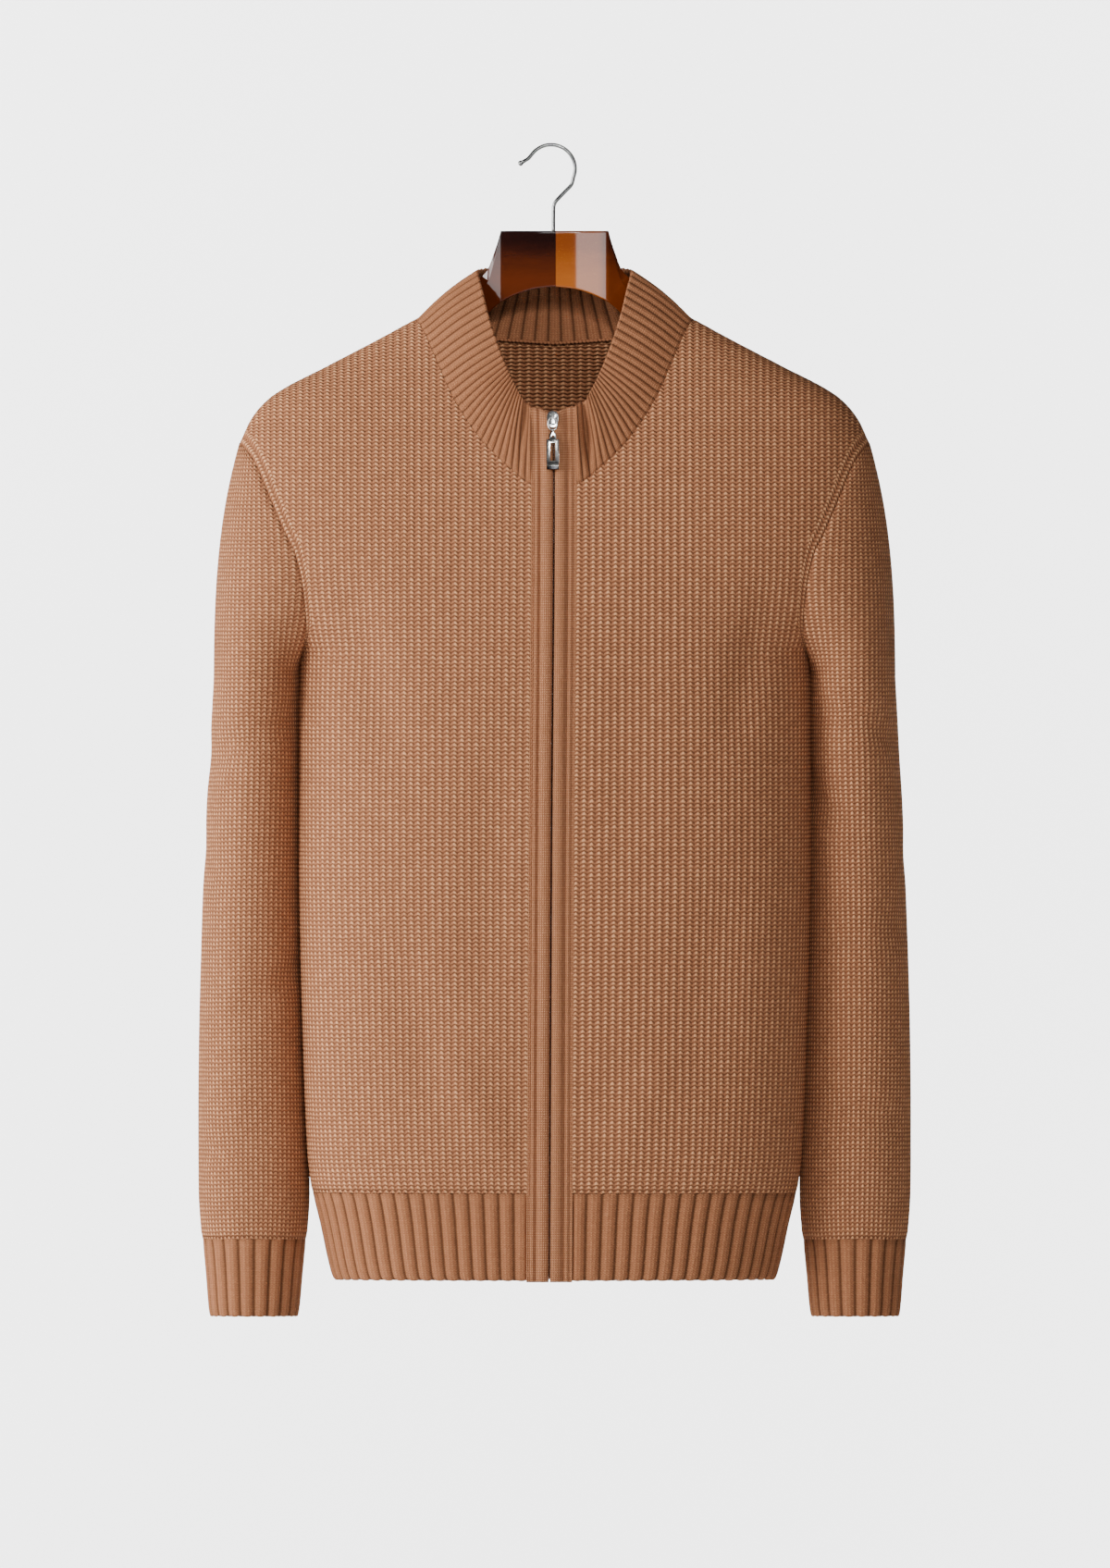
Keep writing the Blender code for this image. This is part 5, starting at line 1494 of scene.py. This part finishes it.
# %% Loft the wood
Station = namedtuple("Station", "x top bottom crown half_depth shoulder")
NECK_BLOCK = table(
    Station,
    (0.0, 0.0604, 0.1002, 0.009, 0.0125, 0.0008), (0.013, 0.0604, 0.1016, 0.009, 0.0121, 0.0008),
    (0.026, 0.0604, 0.1054, 0.009, 0.0109, 0.0008), (0.0386, 0.0604, 0.1113, 0.0082, 0.0091, 0.0008),
)
ARM = table(
    Station,
    (0.0386, 0.0604, 0.1113, 0.0082, 0.0091, 0.0008), (0.0404, 0.0672, 0.1128, 0.007, 0.0085, 0.003),
    (0.0435, 0.0765, 0.1154, 0.0056, 0.0075, 0.006), (0.0479, 0.0878, 0.1196, 0.0044, 0.0062, 0.009),
    (0.0564, 0.0966, 0.1265, 0.003, 0.0045, 0.01), (0.068, 0.1085, 0.135, 0.004, 0.008, 0.011),
    (0.082, 0.119, 0.145, 0.0036, 0.011, 0.012), (0.0995, 0.1288, 0.156, 0.0034, 0.013, 0.014),
    (0.125, 0.1421, 0.17, 0.0034, 0.0145, 0.014), (0.163, 0.1618, 0.1885, 0.0034, 0.0168, 0.014),
    (0.19, 0.1762, 0.2015, 0.0034, 0.018, 0.014), (0.201, 0.185, 0.2055, 0.003, 0.016, 0.012),
    (0.2065, 0.1925, 0.2035, 0.0024, 0.01, 0.007),
)
CHAMFER = 0.0008
EDGE_RADIUS = 0.0007
SHORT_EDGE = 0.28
SUPPORT = 1.6
BLOCK_STEPS = 16
ARM_STEPS = 60


def stations_between(rows, steps, squeeze):
    """Smooth stations through a table. squeeze above 1 sets them closer together near the table's start."""
    at = rows[0].x + (rows[-1].x - rows[0].x) * np.linspace(0.0, 1.0, steps) ** squeeze
    columns = [at, *(read(rows, at, name, by="x") for name in Station._fields[1:])]
    return [Station(*values) for values in zip(*columns)]

# %% Round and join the wood's sections
def rounded(corners):
    """A section with its corners rounded. A support point beside each keeps the flats flat."""
    points = []
    for before, corner, after in zip(np.roll(corners, 1, axis=0), corners, np.roll(corners, -1, axis=0)):
        nearest = min(np.linalg.norm(before - corner), np.linalg.norm(after - corner))
        reach = min(EDGE_RADIUS, SHORT_EDGE * nearest)
        back = unit(before - corner) * reach
        ahead = unit(after - corner) * reach
        arc = [corner + back * (1 - t) ** 2 + ahead * t**2 for t in (0.0, 0.25, 0.5, 0.75, 1.0)]
        points += [corner + back * SUPPORT, *arc, corner + ahead * SUPPORT]
    return points


def hanger_half(side, word):
    shape = bmesh.new()
    loops = []
    for station in (*stations_between(NECK_BLOCK, BLOCK_STEPS, 1.0), *stations_between(ARM, ARM_STEPS, 1.6)[1:]):
        corners = (
            (station.crown, station.top),
            (station.half_depth, station.top + station.shoulder),
            (station.half_depth, station.bottom - CHAMFER),
            (station.half_depth - CHAMFER, station.bottom),
        )
        both = np.array([*((-y, z) for y, z in corners), *corners[::-1]])
        x = side * station.x + HANGER_JOINT * (station.x == 0)
        loops.append([shape.verts.new((x, y, -z)) for y, z in rounded(both)])
    join_loops(shape, loops)
    shape.faces.new(loops[0])
    shape.faces.new(loops[-1])
    name = f"lacquered_hanger_{word}"
    return put(name, mesh_of(name, shape, WOOD, sharp=32))


for side, word in SIDES:
    made = hanger_half(side, word)
    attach(made, "garment")
    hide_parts(f"hanger_{word}")

# %% [markdown]
# ## The hook
# Bent from steel wire: a small lip with a ball end, a round bend that sits on the rail, and a swan neck down to the
# stem. A curve with a round bevel is the natural tool, because the wire has the same section all along.

# %% Bend the hook
WIRE = 0.0014
HOOK_CENTRE = (-0.0025, -0.0159)
HOOK_RADIUS = 0.0172
HOOK_ARC = (136.0, -22.0)
HOOK_STEPS = 60
HOOK_LIP = (Place(-0.0218, 0.0105), Place(-0.0187, 0.0086))
HOOK_TAIL = (Place(0.0124, 0.0266), Place(0.0079, 0.0318), Place(0.0036, 0.0362), Place(0.0003, 0.0402))
HOOK_STEM = (Place(-0.0007, 0.0440), Place(-0.0008, 0.0500), Place(-0.0008, 0.0606))
BALL = Place(-0.0242, 0.0119)
BALL_RADIUS = 0.0020

turns = np.radians(np.linspace(*HOOK_ARC, HOOK_STEPS + 1))
bend = [(HOOK_CENTRE[0] + HOOK_RADIUS * cos(turn), HOOK_CENTRE[1] + HOOK_RADIUS * sin(turn)) for turn in turns]
tail = np.array([bend[-1], *[(p.x, -p.drop) for p in (*HOOK_TAIL, *HOOK_STEM)]])
chords = travelled(tail)
fine_at = np.linspace(0.0, chords[-1], 40)[1:]
fine_tail = np.stack([smooth(fine_at, chords, tail[:, axis]) for axis in range(2)], axis=1)
path = [(BALL.x, -BALL.drop), *[(p.x, -p.drop) for p in HOOK_LIP], *bend, *fine_tail]
curve = bpy.data.curves.new("hook", "CURVE")
curve.dimensions = "3D"
curve.bevel_depth = WIRE
curve.bevel_resolution = 5
curve.use_fill_caps = True
spline = curve.splines.new("POLY")
spline.points.add(len(path) - 1)
for point, (x, z) in zip(spline.points, path):
    point.co = (x, 0.0, z, 1.0)
spline.use_smooth = True
wire = put("hook", curve)
shape = bmesh.new()
shape.from_mesh(evaluated(wire))
bpy.data.objects.remove(wire, do_unlink=True)
ball_place = Matrix.Translation((BALL.x, 0.0, -BALL.drop))
bmesh.ops.create_uvsphere(shape, u_segments=24, v_segments=16, radius=BALL_RADIUS, matrix=ball_place)
bmesh.ops.remove_doubles(shape, verts=shape.verts, dist=1e-6)
mesh = mesh_of("steel_hook", shape, STEEL)
mesh.shade_smooth()
hook = put("steel_hook", mesh)
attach(hook, "garment")
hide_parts("hook_wire", "hook_tip")
print("hook has", len(mesh.polygons), "faces")

# %% [markdown]
# ## What each cloth piece was cut to
# A garment is a set of flat pieces before it is sewn. A table lists each sheet's cut, taken from the photo's scale
# and the piece's own form, so that the cloth is neither stretched nor shrunk. A tube's width is taken all round it.
# Nothing else reads the table here; the loop under it hides the imported solids of these pieces.

Cut = namedtuple("Cut", "nodes width length area slot")
CUTS = table(
    Cut,
    ("front_left front_right", 0.250, 0.630, 0.125, "knit"),
    ("back", 0.520, 0.640, 0.290, "knit"),
    ("sleeve_left sleeve_right", 0.340, 0.590, 0.145, "knit"),
    ("hem_front_left hem_front_right", 0.215, 0.064, None, "rib"),
    ("hem_back", 0.440, 0.064, None, "rib"),
    ("cuff_left cuff_right", 0.235, 0.057, None, "rib"),
    ("collar", 0.450, 0.068, None, "rib"),
    ("placket_left placket_right", 0.018, 0.625, None, "placket"),
    ("zip_tape_left zip_tape_right", 0.0115, 0.620, None, "zip_tape"),
)
for cut in CUTS:
    for node in cut.nodes.split():
        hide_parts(node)

# %% [markdown]
# ## Floor, light and camera
# The photograph is a plain studio shot on pale grey, lit softly from the left. A seamless sweep serves as floor and
# backdrop, and stays low so that the back can be seen over it. Two spots light it evenly and a narrow one reaches
# into the neck. The camera stands level and far away with a long lens, so the garment shows almost without
# perspective.

# %% Roll out the paper
made, shader, start = new_material("pale studio paper", roughness=0.9)
spot = start.object_place()
paper = start.noise(spot, 3.0, 2.0)
colour = paper.mix((0.875, 0.875, 0.875, 1.0), (0.885, 0.885, 0.885, 1.0))
finish(start, shader, colour)
PAPER = made

FLOOR_DROP = 1.35
MIDDLE_HEIGHT = -0.4557
SWEEP_FRONT = -7.0
SWEEP_BACK = 3.0
SWEEP_RADIUS = 0.9
SWEEP_STEPS = 16
SWEEP_HALF = 6.0
SWEEP_TOP = 0.3
section = [(SWEEP_FRONT, -FLOOR_DROP)]
for turn in np.linspace(0.0, pi / 2, SWEEP_STEPS + 1):
    y = SWEEP_BACK - SWEEP_RADIUS + SWEEP_RADIUS * sin(turn)
    section.append((y, -FLOOR_DROP + SWEEP_RADIUS * (1 - cos(turn))))
section.append((SWEEP_BACK, SWEEP_TOP))
verts = [(x, y, z) for y, z in section for x in (-SWEEP_HALF, SWEEP_HALF)]
faces = [(2 * at, 2 * at + 1, 2 * at + 3, 2 * at + 2) for at in range(len(section) - 1)]
mesh = bpy.data.meshes.new("studio_sweep")
mesh.from_pydata(verts, [], faces)
mesh.materials.append(PAPER)
mesh.shade_smooth()
put("studio_sweep", mesh)

# %% Set the lights
BACKDROP = (0.0, SWEEP_BACK, MIDDLE_HEIGHT)
Light = namedtuple("Light", "name place aim power shape")
# A soft light's shape is its width and height, a spot's is its angle, soft edge and lamp radius
LIGHTS = (
    Light("key_left", (-2.95, -2.05, 0.55), (0.0, 0.0, -0.42), 130.0, (1.3, 2.2)),
    Light("flank_left", (-2.3, -3.3, 0.1), (0.0, 0.0, -0.2), 12.0, (0.9, 1.4)),
    Light("edge_left", (-3.3, 0.15, -0.1), (0.0, 0.0, -0.4), 100.0, (1.8, 2.6)),
    Light("strip_right", (1.05, -4.2, 0.0), (0.0, 0.0, -0.1), 12.0, (0.9, 0.9)),
    Light("fill_front", (0.35, -5.0, 1.3), (0.0, 0.0, -0.3), 78.0, (1.4, 0.8)),
    Light("backdrop_left", (-2.2, 1.2, 0.6), BACKDROP, 950.0, (62.0, 0.5, 0.3)),
    Light("backdrop_right", (2.2, 1.2, 0.6), BACKDROP, 950.0, (62.0, 0.5, 0.3)),
    Light("neck_front", (0.35, -2.6, 0.75), (0.0, 0.03, -0.155), 150.0, (5.5, 1.0, 0.15)),
)
for lamp in LIGHTS:
    soft = len(lamp.shape) == 2
    data = bpy.data.lights.new(lamp.name, "AREA" if soft else "SPOT")
    data.energy = lamp.power
    if soft:
        data.shape = "RECTANGLE"
        data.size, data.size_y = lamp.shape
    else:
        data.spot_size = radians(lamp.shape[0])
        data.spot_blend, data.shadow_soft_size = lamp.shape[1:]
    made = put(lamp.name, data)
    made.location = lamp.place
    made.rotation_euler = (Vector(lamp.aim) - Vector(lamp.place)).to_track_quat("-Z", "Y").to_euler()

# %% Dim light from all around
world = bpy.data.worlds.new("studio")
world.use_nodes = True
background = world.node_tree.nodes["Background"]
background.inputs["Color"].default_value = (1.0, 1.0, 1.0, 1.0)
background.inputs["Strength"].default_value = 0.05
bpy.context.scene.world = world

# %% Aim the camera
FRAME_HEIGHT = 1.1187
MIDDLE = (0.0003, MIDDLE_HEIGHT)
CLOTH_PLANE = -0.06
DISTANCE = 30.0
SENSOR = 36.0
camera_data = bpy.data.cameras.new("camera")
camera_data.sensor_width = SENSOR
camera_data.lens = SENSOR * DISTANCE / FRAME_HEIGHT
camera_data.clip_end = DISTANCE + 20.0
camera = put("camera", camera_data)
camera.location = (MIDDLE[0], CLOTH_PLANE - DISTANCE, MIDDLE[1])
camera.rotation_euler = (pi / 2, 0.0, 0.0)
bpy.context.scene.camera = camera
